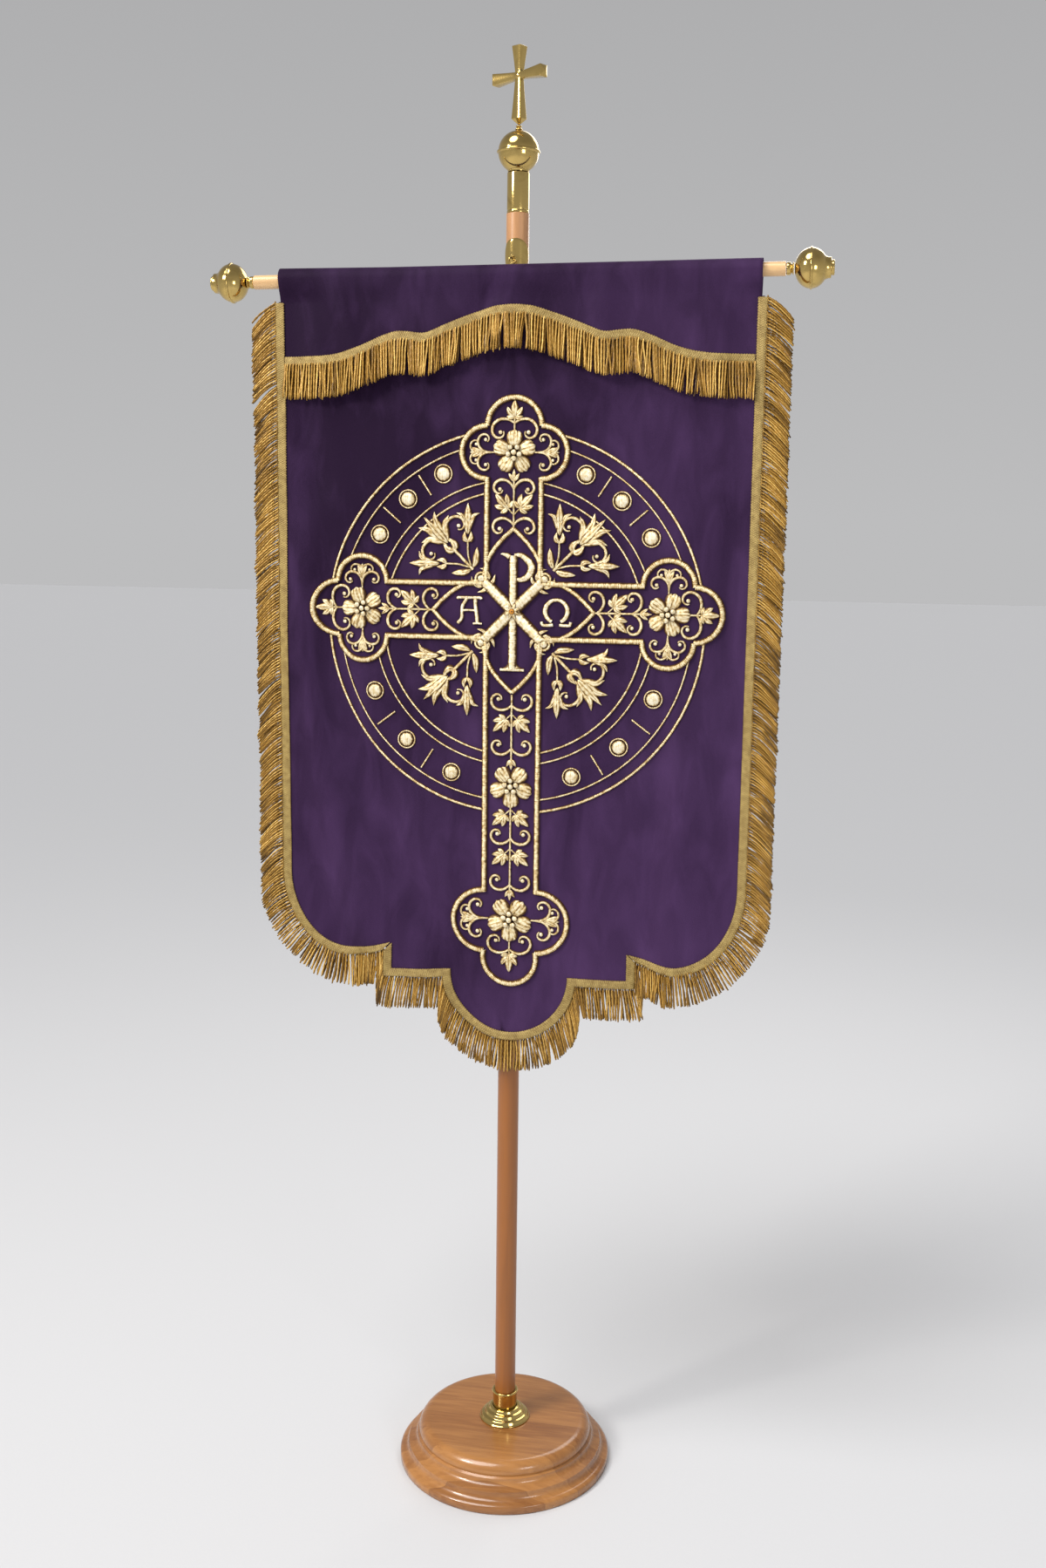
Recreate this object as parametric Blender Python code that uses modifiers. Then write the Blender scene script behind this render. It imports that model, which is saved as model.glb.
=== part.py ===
"""A church banner: velvet cloth with bullion fringe, hung from a wooden crossbar on a turned wooden stand.

Metres, +Z up. The origin is the middle of the base's underside, the crossbar lies along X and the
cloth faces -Y. The cloth is the open surface through the middle of its thickness, made solid by Solidify.
"""

import math

import bmesh
import bpy
from mathutils import Vector

# Wooden base, pole and brass socket
BASE_RADIUS = 0.180
BASE_HEIGHT = 0.068
BASE_TOP_RADIUS = 0.130
POLE_RADIUS = 0.0175
POLE_TOP = 2.117
POLE_SHOULDER = 2.0606
POLE_FOOT = 0.0125
SPIGOT_RADIUS = 0.0135
BORE_RADIUS = 0.0180
BORE_FLOOR = 0.012
TUBE_RADIUS = 0.0205
LIP_RADIUS = 0.0225
TUBE_TOP = 0.118
ROSETTE_RADIUS = 0.043
ROSETTE_TOP = 0.089
FIT = 0.0004

# Brass on top of the pole
FERRULE_RADIUS = 0.0169
FERRULE_FOOT = 2.0610
FERRULE_TOP = 2.1205
GLOBE_RADIUS = 0.031
GLOBE_HEIGHT = 2.150
GLOBE_FOOT = 2.1210
SEAM_RISE = 0.002
SHELL = 0.002
COLLAR_FOOT = 2.1815
COLLAR_TOP = 2.1878
CROSS_HEIGHT = 2.259
CROSS_TURN = math.radians(-30.0)
CROSS_ROOT = 0.0050
CROSS_END = 0.0085

# Crossbar, its knobs, and the plate, hook and eye that hang it on the pole
BAR_RADIUS = 0.0105
BAR_HALF = 0.408
BAR_Y = -0.040
BAR_HEIGHT = 1.964
BAR_TILT = math.radians(0.56)
KNOB_RADIUS = 0.029
KNOB_HALF = 0.0245
KNOB_OUT = 0.4445
PLATE_HEIGHT = 1.9985
PLATE_HALF = 0.024
PLATE_THICK = 0.0015
PLATE_WRAP = math.radians(74.0)
EYE_RADIUS = 0.0050
EYE_WIRE = 0.00125
EYE_HEIGHT = 1.9875
HOOK_WIRE = 0.0015
HOOK_HEIGHT = 1.9892

# Cloth. Widths are half widths measured from CLOTH_X; heights are above the floor.
CLOTH_X = 0.005
CLOTH_THICK = 0.0015
LAYER = 0.0020
HALF_WIDTH = 0.365
PANEL_HEM = 0.009
VALANCE_HALF = 0.370
SLEEVE_RADIUS = 0.01475
UNDER_BAR = 1.946
SEAM_HEIGHT = 1.930
BACK_HEM_HEIGHT = 1.932
SEAM_DEPTH = 0.035
VALANCE_STANDS = 0.0105
EYE_HOLE = 0.005
FOLD_SPREAD = 0.5
PANEL_ROWS = 12
LOWER_ROWS = 3

# Lower edge of the panel: middle lobe, flat steps, notches and rounded corners
LOBE_RADIUS = 0.098
STEP_HEIGHT = 0.873
NOTCH_OUT = 0.193
NOTCH_TOP = 0.917
CORNER_LOW = 0.902
CORNER_START = 0.265
CORNER_WIDE = 0.100
CORNER_TALL = 0.128
CORNER_HEIGHT = 1.030

# Fringe: the woven heading and the cords below it
HEADING = 0.013
CORD = 0.052
SIDE_REACH = 0.040
SIDE_DROOP = 0.034
FRINGE_THICK = 0.0016
FRINGE_LIFT = 0.0028
SIDE_LIFT = 0.0047
FRINGE_TOP = 1.928
SIDE_TEETH = 24
MITRE_SHARE = 0.985
UNDER_VALANCE = 1.800
TOOTH_SHARE = 0.74

# Height of the middle of the sleeve's round top, along the bar
SLEEVE_TABLE = (
    # across, height
    (-0.375, 1.9630),
    (-0.190, 1.9624),
    (0.000, 1.9638),
    (0.190, 1.9650),
    (0.385, 1.9669),
)

# Angle from the top of the bar at which the sleeve has a row, from the back to the front
SLEEVE_ANGLES = (90, 55, 16, -16, -55, -90)
HOLE_ANGLE = 16

# Stretches of the edge's right half from the side to the middle; all but the notch have a tooth a piece
STRETCHES = (
    # part, pieces
    ("corner", 6),
    ("slope", 4),
    ("notch", LOWER_ROWS),
    ("step", 4),
    ("lobe", 7),
)

# Soft folds of the panel: a line from top to low, bowed sideways; a trough goes back, a ridge comes forward
PANEL_FOLDS = (
    # x_top, z_top, x_low, z_low, bow, half_width, depth, to_hem
    (-0.318, 1.62, -0.075, 0.84, -0.060, 0.030, 0.012, True),
    (-0.342, 1.62, -0.213, 0.88, -0.038, 0.026, -0.011, True),
    (-0.345, 1.13, -0.245, 0.88, -0.025, 0.018, 0.006, True),
    (-0.210, 1.08, -0.125, 0.84, -0.010, 0.024, -0.006, True),
    (-0.348, 1.82, -0.298, 1.60, 0.000, 0.018, 0.006, False),
    (0.243, 1.36, 0.214, 0.84, 0.004, 0.018, 0.009, True),
    (0.272, 1.34, 0.258, 0.86, 0.000, 0.026, -0.008, True),
    (0.097, 1.18, 0.099, 0.90, 0.000, 0.016, 0.004, False),
    (0.340, 1.78, 0.335, 0.98, 0.004, 0.017, 0.005, False),
)

# Folds of the valance, fanning out from the pole and down from the bar
VALANCE_FOLDS = (
    # x_top, z_top, x_low, z_low, bow, half_width, depth, to_hem
    (-0.318, 1.97, -0.276, 1.82, 0.0, 0.014, 0.004, True),
    (-0.286, 1.97, -0.238, 1.82, 0.0, 0.016, -0.004, True),
    (-0.012, 1.97, -0.088, 1.86, 0.0, 0.016, 0.004, True),
    (0.020, 1.97, 0.092, 1.86, 0.0, 0.016, 0.004, True),
    (0.142, 1.97, 0.126, 1.83, 0.0, 0.018, -0.004, True),
    (0.330, 1.97, 0.322, 1.82, 0.0, 0.016, -0.003, True),
)

# Front edge of the valance, from its middle to its side: the heading's upper line
VALANCE_EDGE = (
    # half_across, height
    (0.000, 1.921),
    (0.030, 1.9185),
    (0.072, 1.9050),
    (0.108, 1.8910),
    (0.138, 1.8785),
    (0.158, 1.8815),
    (0.182, 1.8835),
    (0.207, 1.8755),
    (0.245, 1.8585),
    (0.272, 1.8510),
    (0.300, 1.8470),
    (0.385, 1.8460),
)

# Colours, roughness and metallic values
FINISHES = {
    "wood": ((0.42, 0.20, 0.07), 0.30, 0.0),
    "pole_wood": ((0.50, 0.26, 0.11), 0.35, 0.0),
    "brass": ((0.80, 0.58, 0.22), 0.15, 1.0),
    "velvet": ((0.055, 0.022, 0.095), 0.85, 0.0),
    "gold_trim": ((0.56, 0.36, 0.09), 0.45, 0.2),
}


def clear_scene():
    for item in list(bpy.data.objects):
        bpy.data.objects.remove(item)


def make_material(name):
    colour, roughness, metallic = FINISHES[name]
    material = bpy.data.materials.get(name) or bpy.data.materials.new(name)
    material.use_nodes = True
    shader = material.node_tree.nodes["Principled BSDF"]
    shader.inputs["Base Color"].default_value = (*colour, 1.0)
    shader.inputs["Roughness"].default_value = roughness
    shader.inputs["Metallic"].default_value = metallic
    return material


def add_object(name, data, finish):
    item = bpy.data.objects.new(name, data)
    bpy.data.collections["church_banner"].objects.link(item)
    data.materials.append(make_material(finish))
    return item


def add_mesh(name, points, faces, finish, edges=()):
    mesh = bpy.data.meshes.new(name)
    mesh.from_pydata(points, edges, faces)
    mesh.update()
    return add_object(name, mesh, finish)


def add_solidify(item, thickness):
    shell = item.modifiers.new("thickness", "SOLIDIFY")
    shell.thickness = thickness
    shell.offset = 0.0
    shell.use_even_offset = True


def turned(name, profile, finish, steps, closed=False):
    """A solid turned about Z from (radius, height) points that run down the outer side."""
    points = [(radius, 0.0, height) for radius, height in profile]
    edges = [(i, i + 1) for i in range(len(points) - 1)]
    if closed:
        edges.append((len(points) - 1, 0))
    item = add_mesh(name, points, [], finish, edges)
    screw = item.modifiers.new("turn", "SCREW")
    screw.axis = "Z"
    screw.angle = math.tau
    screw.steps = steps
    screw.render_steps = steps
    screw.use_merge_vertices = True
    screw.merge_threshold = 0.00002
    screw.use_smooth_shade = True
    return item


def arc(middle, radii, start, end, steps):
    """Points of an ellipse's arc about middle; angles in degrees, 0 outward and 90 up."""
    found = []
    for i in range(steps + 1):
        angle = math.radians(start + (end - start) * i / steps)
        found.append((middle[0] + radii[0] * math.cos(angle), middle[1] + radii[1] * math.sin(angle)))
    return found


# Stand


def make_base():
    edge = (BASE_TOP_RADIUS, BASE_HEIGHT - 0.018)
    profile = [(0.0, BORE_FLOOR), (BORE_RADIUS, BORE_FLOOR), (BORE_RADIUS, BASE_HEIGHT)]
    profile += arc(edge, (0.0180, 0.018), 90, 0, 4)
    profile += [(0.1465, 0.0465), (0.1500, 0.0440)]
    profile += arc((0.1600, 0.0440), (0.0100, 0.0110), 180, 250, 2)
    profile += [(0.1650, 0.0300), (0.1655, 0.0265)]
    profile += arc((0.1765, 0.0265), (0.0110, 0.0115), 190, 260, 2)
    profile += [(0.1785, 0.0130), (BASE_RADIUS, 0.0110), (BASE_RADIUS, 0.0), (0.0, 0.0)]
    turned("base", profile, "wood", 36)


def make_socket():
    foot = BASE_HEIGHT + FIT
    inner = TUBE_RADIUS + 0.0008
    rosette = [(inner, ROSETTE_TOP), (0.0255, ROSETTE_TOP - 0.0005), (0.0275, 0.0840), (0.0325, 0.0825)]
    rosette += [(0.0345, 0.0775), (0.0390, 0.0760), (0.0415, 0.0710), (ROSETTE_RADIUS, 0.0700)]
    rosette += [(ROSETTE_RADIUS, foot), (inner, foot)]
    turned("socket_rosette", rosette, "brass", 28, closed=True)
    bore = POLE_RADIUS + 0.0007
    tube = [(bore, TUBE_TOP), (LIP_RADIUS - 0.001, TUBE_TOP), (LIP_RADIUS, TUBE_TOP - 0.0020)]
    tube += [(LIP_RADIUS - 0.0005, TUBE_TOP - 0.0045), (TUBE_RADIUS, TUBE_TOP - 0.0050)]
    tube += [(TUBE_RADIUS, foot), (bore, foot)]
    turned("socket_tube", tube, "brass", 24, closed=True)


def make_pole():
    profile = [(0.0, POLE_TOP), (SPIGOT_RADIUS, POLE_TOP), (SPIGOT_RADIUS, POLE_SHOULDER)]
    profile += [(POLE_RADIUS, POLE_SHOULDER), (POLE_RADIUS, POLE_FOOT), (0.0, POLE_FOOT)]
    turned("pole", profile, "pole_wood", 24)


def make_ferrule():
    bore = SPIGOT_RADIUS + FIT
    profile = [(0.0, FERRULE_TOP), (FERRULE_RADIUS - 0.0012, FERRULE_TOP)]
    profile += [(FERRULE_RADIUS, FERRULE_TOP - 0.0015), (FERRULE_RADIUS, FERRULE_FOOT)]
    profile += [(bore, FERRULE_FOOT), (bore, POLE_TOP + FIT), (0.0, POLE_TOP + FIT)]
    turned("ferrule", profile, "brass", 24)


def make_globe():
    middle = (0.0, GLOBE_HEIGHT)
    ridge = GLOBE_RADIUS + SEAM_RISE
    inside = GLOBE_RADIUS - SHELL
    profile = arc(middle, (GLOBE_RADIUS, GLOBE_RADIUS), 90, 4, 5)
    profile += [(ridge, GLOBE_HEIGHT + 0.0008), (ridge, GLOBE_HEIGHT - 0.0008)]
    profile += arc(middle, (GLOBE_RADIUS, GLOBE_RADIUS), -4, -58, 4)
    profile += [(0.0160, GLOBE_FOOT), (0.0080, GLOBE_FOOT)]
    profile += arc(middle, (inside, inside), -74, 90, 7)
    turned("globe", profile, "brass", 24)


def make_cross_collar():
    profile = [(0.0, COLLAR_TOP), (0.0042, COLLAR_TOP), (0.0050, COLLAR_TOP - 0.0012)]
    profile += [(0.0030, COLLAR_TOP - 0.0030), (0.0058, COLLAR_FOOT + 0.0010), (0.0058, COLLAR_FOOT), (0.0, COLLAR_FOOT)]
    turned("cross_collar", profile, "brass", 16)


def add_arm(mesh, outward, length, tip, across):
    """A square arm that widens outward from the middle block and ends in a low pyramid."""
    side = outward.cross(across)
    rings = []
    for reach, half in ((CROSS_ROOT, CROSS_ROOT), (length - tip, CROSS_END)):
        ring = []
        for turn_across, turn_side in ((1, 1), (-1, 1), (-1, -1), (1, -1)):
            ring.append(mesh.verts.new(outward * reach + across * (half * turn_across) + side * (half * turn_side)))
        rings.append(ring)
    point = mesh.verts.new(outward * length)
    for i in range(4):
        following = (i + 1) % 4
        mesh.faces.new((rings[0][i], rings[0][following], rings[1][following], rings[1][i]))
        mesh.faces.new((rings[1][i], rings[1][following], point))


def make_cross():
    mesh = bmesh.new()
    up, right, front = Vector((0, 0, 1)), Vector((1, 0, 0)), Vector((0, -1, 0))
    foot = CROSS_HEIGHT - COLLAR_TOP - FIT
    for outward, length, tip, across in (
        (up, 0.0445, 0.003, right),
        (right, 0.0500, 0.003, up),
        (-right, 0.0500, 0.003, up),
        (-up, foot, 0.009, right),
    ):
        add_arm(mesh, outward, length, tip, across)
    root = CROSS_ROOT
    boss_back, boss_front = -root, root
    for face_at in (boss_back, boss_front):
        corners = [right * (root * i) + up * (root * j) + front * face_at for i, j in ((1, 1), (-1, 1), (-1, -1), (1, -1))]
        mesh.faces.new([mesh.verts.new(corner) for corner in corners])
    bmesh.ops.remove_doubles(mesh, verts=mesh.verts, dist=0.00001)
    bmesh.ops.recalc_face_normals(mesh, faces=mesh.faces)
    data = bpy.data.meshes.new("cross")
    mesh.to_mesh(data)
    mesh.free()
    item = add_object("cross", data, "brass")
    item.location = (0.0, 0.0, CROSS_HEIGHT)
    item.rotation_euler = (0.0, 0.0, CROSS_TURN)


# Crossbar


def bar_height(x):
    return BAR_HEIGHT + x * math.tan(BAR_TILT)


def along_bar(item, x, turn):
    """Lays a turned piece along the bar, its own +Z pointing outward on the side that turn gives."""
    item.location = (x, BAR_Y, bar_height(x))
    item.rotation_euler = (0.0, math.radians(90.0) * turn - BAR_TILT, 0.0)


def make_crossbar():
    half = BAR_HALF / math.cos(BAR_TILT)
    bore = EYE_WIRE + 0.0005
    mesh = bmesh.new()
    bmesh.ops.create_cone(
        mesh, cap_ends=True, segments=20, radius1=BAR_RADIUS, radius2=BAR_RADIUS, depth=2 * half
    )
    data = bpy.data.meshes.new("crossbar")
    mesh.to_mesh(data)
    mesh.free()
    bar = add_object("crossbar", data, "pole_wood")
    along_bar(bar, 0.0, 1)
    cutter_mesh = bmesh.new()
    bmesh.ops.create_cone(cutter_mesh, cap_ends=True, segments=12, radius1=bore, radius2=bore, depth=0.014)
    cutter_data = bpy.data.meshes.new("eye_bore")
    cutter_mesh.to_mesh(cutter_data)
    cutter_mesh.free()
    cutter = bpy.data.objects.new("eye_bore", cutter_data)
    bpy.data.collections["cutters"].objects.link(cutter)
    cutter.location = (0.0, BAR_Y, BAR_HEIGHT + BAR_RADIUS)
    cutter.hide_render = True
    cutter.display_type = "WIRE"
    cut = bar.modifiers.new("eye_bore", "BOOLEAN")
    cut.operation = "DIFFERENCE"
    cut.object = cutter


def make_bar_end(side, turn):
    """A grooved collar and a hollow ball knob with a seam ridge and stepped rings on its outer end."""
    length = KNOB_OUT - KNOB_HALF - BAR_HALF - 2 * FIT
    collar = [(0.0, length), (0.0085, length), (0.0090, length - 0.0016), (0.0058, length - 0.0032)]
    collar += [(0.0093, length - 0.0052), (0.0093, 0.0008), (0.0078, 0.0), (0.0, 0.0)]
    item = turned("bar_collar_" + side, collar, "brass", 16)
    along_bar(item, turn * (BAR_HALF + FIT), turn)
    ridge = KNOB_RADIUS + 0.0015
    inside = (KNOB_RADIUS - SHELL, KNOB_HALF - SHELL)
    outside = (KNOB_RADIUS, KNOB_HALF)
    knob = [(0.0, 0.0335), (0.0100, 0.0335), (0.0110, 0.0325), (0.0110, 0.0285), (0.0150, 0.0280), (0.0150, 0.0240)]
    knob += arc((0.0, 0.0), outside, 50, 4, 3)
    knob += [(ridge, 0.0007), (ridge, -0.0007)]
    knob += arc((0.0, 0.0), outside, -4, -76, 4)
    knob += arc((0.0, 0.0), inside, -76, 90, 6)
    item = turned("knob_" + side, knob, "brass", 20)
    along_bar(item, turn * KNOB_OUT, turn)


def make_plate():
    """An oval brass shell wrapped round the front of the pole."""
    radius = POLE_RADIUS + FIT + PLATE_THICK / 2
    across, along = 10, 6
    points, faces = [], []
    for i in range(across + 1):
        share = 2 * i / across - 1
        angle = share * PLATE_WRAP
        half = PLATE_HALF * math.sqrt(max(1 - share * share, 0.04))
        for j in range(along + 1):
            height = PLATE_HEIGHT + half * (2 * j / along - 1)
            points.append((radius * math.sin(angle), -radius * math.cos(angle), height))
    for i in range(across):
        for j in range(along):
            first = i * (along + 1) + j
            faces.append((first, first + along + 1, first + along + 2, first + 1))
    item = add_mesh("bar_plate", points, faces, "brass")
    add_solidify(item, PLATE_THICK)


def wire(name, points, radius, cyclic=False, sides=2):
    data = bpy.data.curves.new(name, "CURVE")
    data.dimensions = "3D"
    data.bevel_depth = radius
    data.bevel_resolution = sides
    data.use_fill_caps = True
    spline = data.splines.new("POLY")
    spline.points.add(len(points) - 1)
    for place, point in zip(spline.points, points):
        place.co = (*point, 1.0)
    spline.use_cyclic_u = cyclic
    return add_object(name, data, "brass")


def make_hook():
    start = -(POLE_RADIUS + 2 * FIT + PLATE_THICK)
    turn_y = BAR_Y - 0.0040
    points = [(0.0, start, HOOK_HEIGHT), (0.0, (start + turn_y) / 2, HOOK_HEIGHT), (0.0, turn_y, HOOK_HEIGHT)]
    for angle in (-60, -30, 0):
        turn = math.radians(angle)
        points.append((0.0, turn_y - 0.0045 * math.cos(turn), HOOK_HEIGHT + 0.0045 * (1 + math.sin(turn))))
    points.append((0.0, turn_y - 0.0045, HOOK_HEIGHT + 0.0085))
    wire("bar_hook", points, HOOK_WIRE)


def make_eye():
    """A screw eye in the top of the bar: a shank and a ring that is left open where the shank joins it."""
    points = [(0.0, BAR_Y, BAR_HEIGHT + BAR_RADIUS - 0.0060), (0.0, BAR_Y, EYE_HEIGHT - EYE_RADIUS - 0.0022)]
    for angle in range(-90, 211, 25):
        turn = math.radians(angle)
        points.append((EYE_RADIUS * math.cos(turn), BAR_Y, EYE_HEIGHT + EYE_RADIUS * math.sin(turn)))
    wire("bar_eye", points, EYE_WIRE)


# Cloth


def mix(first, second, share):
    return tuple(a + (b - a) * share for a, b in zip(first, second))


def ease(value):
    value = min(max(value, 0.0), 1.0)
    return value * value * (3.0 - 2.0 * value)


def from_table(table, x):
    """Eased height between the rows of a table of (across, height)."""
    for (x0, z0), (x1, z1) in zip(table, table[1:]):
        if x <= x1:
            return z0 + (z1 - z0) * min(max((x - x0) / (x1 - x0), 0.0), 1.0)
    return table[-1][1]


def fold_depth(folds, x, z):
    """How far the folds push the cloth back at this place."""
    depth = 0.0
    for x_top, z_top, x_low, z_low, bow, half_width, amount, to_hem in folds:
        down = (z_top - z) / (z_top - z_low)
        if down <= 0.0:
            continue
        fade = ease(down / 0.35)
        if not to_hem:
            fade *= ease((1.0 - down) / 0.35)
        down = min(down, 1.0)
        middle = x_top + (x_low - x_top) * down + bow * 4 * down * (1 - down)
        spread = half_width * (1.0 + FOLD_SPREAD * down)
        depth += amount * fade * math.exp(-(((x - middle) / spread) ** 2))
    return depth


def sleeve_height(x):
    return from_table(SLEEVE_TABLE, x)


def panel_y(x, z):
    """Depth of the panel's middle surface on the front of the bar and below it."""
    drawn_in = ease((sleeve_height(x) - z) / SEAM_DEPTH) * (SLEEVE_RADIUS - 0.0015)
    return BAR_Y - SLEEVE_RADIUS + drawn_in + fold_depth(PANEL_FOLDS, x - CLOTH_X, z)


def valance_y(x, z):
    """Depth of the valance: it hangs free in the middle and is caught under the side trims."""
    free = ease((0.352 - abs(x - CLOTH_X)) / 0.060)
    drop = ease((sleeve_height(x) - z) / SEAM_DEPTH)
    lift = VALANCE_STANDS * free * drop
    own_folds = fold_depth(VALANCE_FOLDS, x - CLOTH_X, z) * free
    shared = panel_y(x, z) - free * drop * fold_depth(PANEL_FOLDS, x - CLOTH_X, z)
    return shared - LAYER - lift + own_folds


def hem_point(part, share, reach):
    """A place on the right half of the edge, reach outward of the cloth's shown edge, as (across, height)."""
    past = max(reach - HEADING, 0.0) / CORD
    if part == "side":
        height = FRINGE_TOP + (CORNER_HEIGHT - FRINGE_TOP) * share
        return HALF_WIDTH + min(reach, HEADING) + SIDE_REACH * past, height - SIDE_DROOP * past**1.4
    if part == "corner":
        angle = math.radians(90.0 * share)
        sideways = math.cos(angle) ** 2
        wide = CORNER_WIDE + min(reach, HEADING) + (SIDE_REACH * sideways + CORD * (1 - sideways)) * past
        tall = CORNER_TALL + min(reach, HEADING) * sideways + reach * (1 - sideways)
        height = CORNER_HEIGHT - tall * math.sin(angle) - SIDE_DROOP * sideways * past**1.4
        return CORNER_START + wide * math.cos(angle), height
    if part == "slope":
        away = CORNER_START + (NOTCH_OUT + reach - CORNER_START) * share
        return away, CORNER_LOW - reach + (NOTCH_TOP - CORNER_LOW) * share**1.3
    if part == "notch":
        return NOTCH_OUT + reach, NOTCH_TOP - reach + (STEP_HEIGHT - NOTCH_TOP) * share
    if part == "step":
        joint = math.sqrt((LOBE_RADIUS + reach) ** 2 - reach * reach)
        return NOTCH_OUT + reach + (joint - NOTCH_OUT - reach) * share, STEP_HEIGHT - reach
    radius = LOBE_RADIUS + reach
    start = math.asin(reach / radius)
    angle = start + (math.pi / 2 - start) * share
    return radius * math.cos(angle), STEP_HEIGHT - radius * math.sin(angle)


def stretch(*parts):
    """Stations (part, share) along these stretches of the right half, each end shared with the next."""
    stations = []
    for part, pieces in STRETCHES:
        if part in parts:
            stations += [(part, i / pieces) for i in range(pieces)]
            last = (part, 1.0)
    return [*stations, last]


def sleeve_rows(x, radius, hem_height_at):
    """Points from the back hem over the bar to its front, for one column."""
    middle = sleeve_height(x)
    rows = []
    for height in (hem_height_at, hem_height_at + 0.016):
        drawn_in = ease((middle - height) / SEAM_DEPTH) * (SLEEVE_RADIUS - 0.0012)
        rows.append((x, BAR_Y + radius + 0.3 * (radius - SLEEVE_RADIUS) - drawn_in, height))
    for degrees in SLEEVE_ANGLES:
        angle = math.radians(degrees)
        rows.append((x, BAR_Y + radius * math.sin(angle), middle + radius * math.cos(angle)))
    return rows


def column_faces(first, second, count, skip=None):
    """Faces between two columns of points that start at these places in the list."""
    return [(first + j, second + j, second + j + 1, first + j + 1) for j in range(count - 1) if j != skip]


def sleeve_faces(columns, starts, counts):
    """Faces of a sheet from its columns, leaving out the hole that the eye comes through."""
    hole_row = 2 + SLEEVE_ANGLES.index(HOLE_ANGLE)
    faces = []
    for i in range(len(columns) - 1):
        skip = hole_row if abs(columns[i] + EYE_HOLE) < 1e-6 else None
        faces += column_faces(starts[i], starts[i + 1], min(counts[i], counts[i + 1]), skip)
    return faces


def panel_rows(x, shoulder, edge):
    """The panel's points at one column, from its back hem over the bar, down its front to its edge."""
    rows = sleeve_rows(x, SLEEVE_RADIUS, BACK_HEM_HEIGHT)
    heights = [UNDER_BAR]
    heights += [SEAM_HEIGHT + (shoulder - SEAM_HEIGHT) * i / PANEL_ROWS for i in range(PANEL_ROWS + 1)]
    if edge < shoulder:
        heights += [shoulder + (edge - shoulder) * i / LOWER_ROWS for i in range(1, LOWER_ROWS + 1)]
    return rows + [(x, panel_y(x, height), height) for height in heights]


def panel_columns():
    """Columns from left to right as (x, lowest row of the upper part, lowest row), and the middle one's place."""
    outer = [hem_point(*station, 0.0) for station in stretch("corner", "slope")[:-1]]
    inner = [hem_point(*station, 0.0) for station in stretch("step", "lobe")]
    half = [(away, height, height) for away, height in outer] + [(away, NOTCH_TOP, height) for away, height in inner]
    middle = len(half) - 1
    left = [(CLOTH_X - away, top, low) for away, top, low in half[:middle]]
    right = [(CLOTH_X + away, top, low) for away, top, low in reversed(half[:middle])]
    split = [(-EYE_HOLE, *half[middle][1:]), (EYE_HOLE, *half[middle][1:])]
    return left + split + right


def edge_path(columns, starts, counts, side):
    """Points of the grid along the right or left half of the panel's edge, with the stations they lie at."""
    seam_row = 2 + len(SLEEVE_ANGLES) + 1
    order = list(range(len(columns)))
    if side > 0:
        order.reverse()
    order = order[: len(columns) // 2]
    path = [(starts[order[0]] + seam_row + i, None) for i in range(PANEL_ROWS)]
    outer = stretch("corner", "slope")[:-1]
    path += [(starts[i] + counts[i] - 1, station) for i, station in zip(order, outer)]
    notch = order[len(outer)]
    path += [(starts[notch] + seam_row + PANEL_ROWS + i, ("notch", i / LOWER_ROWS)) for i in range(LOWER_ROWS)]
    inner = zip(order[len(outer) :], stretch("step", "lobe"))
    return path + [(starts[i] + counts[i] - 1, station) for i, station in inner]


def make_panel():
    """The panel: columns of points down to its edge, and a hem strip that lies under the fringe's heading."""
    columns = panel_columns()
    points, starts, counts = [], [], []
    for x, top, low in columns:
        rows = panel_rows(x, top, low)
        starts.append(len(points))
        counts.append(len(rows))
        points += rows
    faces = sleeve_faces([x for x, _, _ in columns], starts, counts)
    strip = []
    for side in (1, -1):
        path = edge_path(columns, starts, counts, side)
        for vertex, station in path if side > 0 else reversed(path):
            if station is None:
                x, height = points[vertex][0] + side * PANEL_HEM, points[vertex][2]
            else:
                across, height = hem_point(*station, PANEL_HEM)
                x = points[vertex][0] if across < EYE_HOLE else CLOTH_X + side * across
            points.append((x, panel_y(x, height), height))
            strip.append((vertex, len(points) - 1))
    for here, there in zip(strip, strip[1:]):
        faces.append((here[0], here[1], there[1], there[0]))
    add_solidify(add_mesh("panel", points, faces, "velvet"), CLOTH_THICK)


def valance_low(x):
    return from_table(VALANCE_EDGE, abs(x - CLOTH_X))


def valance_stations():
    half_count = 13
    half_span = HALF_WIDTH - 0.015
    return [CLOTH_X + half_span * i / half_count for i in range(-half_count, half_count + 1)]


def valance_columns():
    stations = [x for x in valance_stations() if abs(x) > 2.2 * EYE_HOLE] + [-EYE_HOLE, EYE_HOLE]
    return sorted([CLOTH_X - VALANCE_HALF, CLOTH_X + VALANCE_HALF, *stations])


def valance_rows(x):
    """The valance's points at one column, from its back hem over the bar and down its front."""
    rows = sleeve_rows(x, SLEEVE_RADIUS + LAYER, BACK_HEM_HEIGHT)
    low = valance_low(x)
    rows.append((x, valance_y(x, UNDER_BAR), UNDER_BAR))
    for share in (0.0, 0.34, 0.67, 1.0):
        height = SEAM_HEIGHT + (low - SEAM_HEIGHT) * share
        rows.append((x, valance_y(x, height), height))
    rows.append((x, valance_y(x, low - PANEL_HEM), low - PANEL_HEM))
    return rows


def make_valance():
    columns = valance_columns()
    grid = [valance_rows(x) for x in columns]
    counts = [len(rows) for rows in grid]
    starts = [i * counts[0] for i in range(len(grid))]
    points = [point for rows in grid for point in rows]
    item = add_mesh("valance", points, sleeve_faces(columns, starts, counts), "velvet")
    add_solidify(item, CLOTH_THICK)


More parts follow.
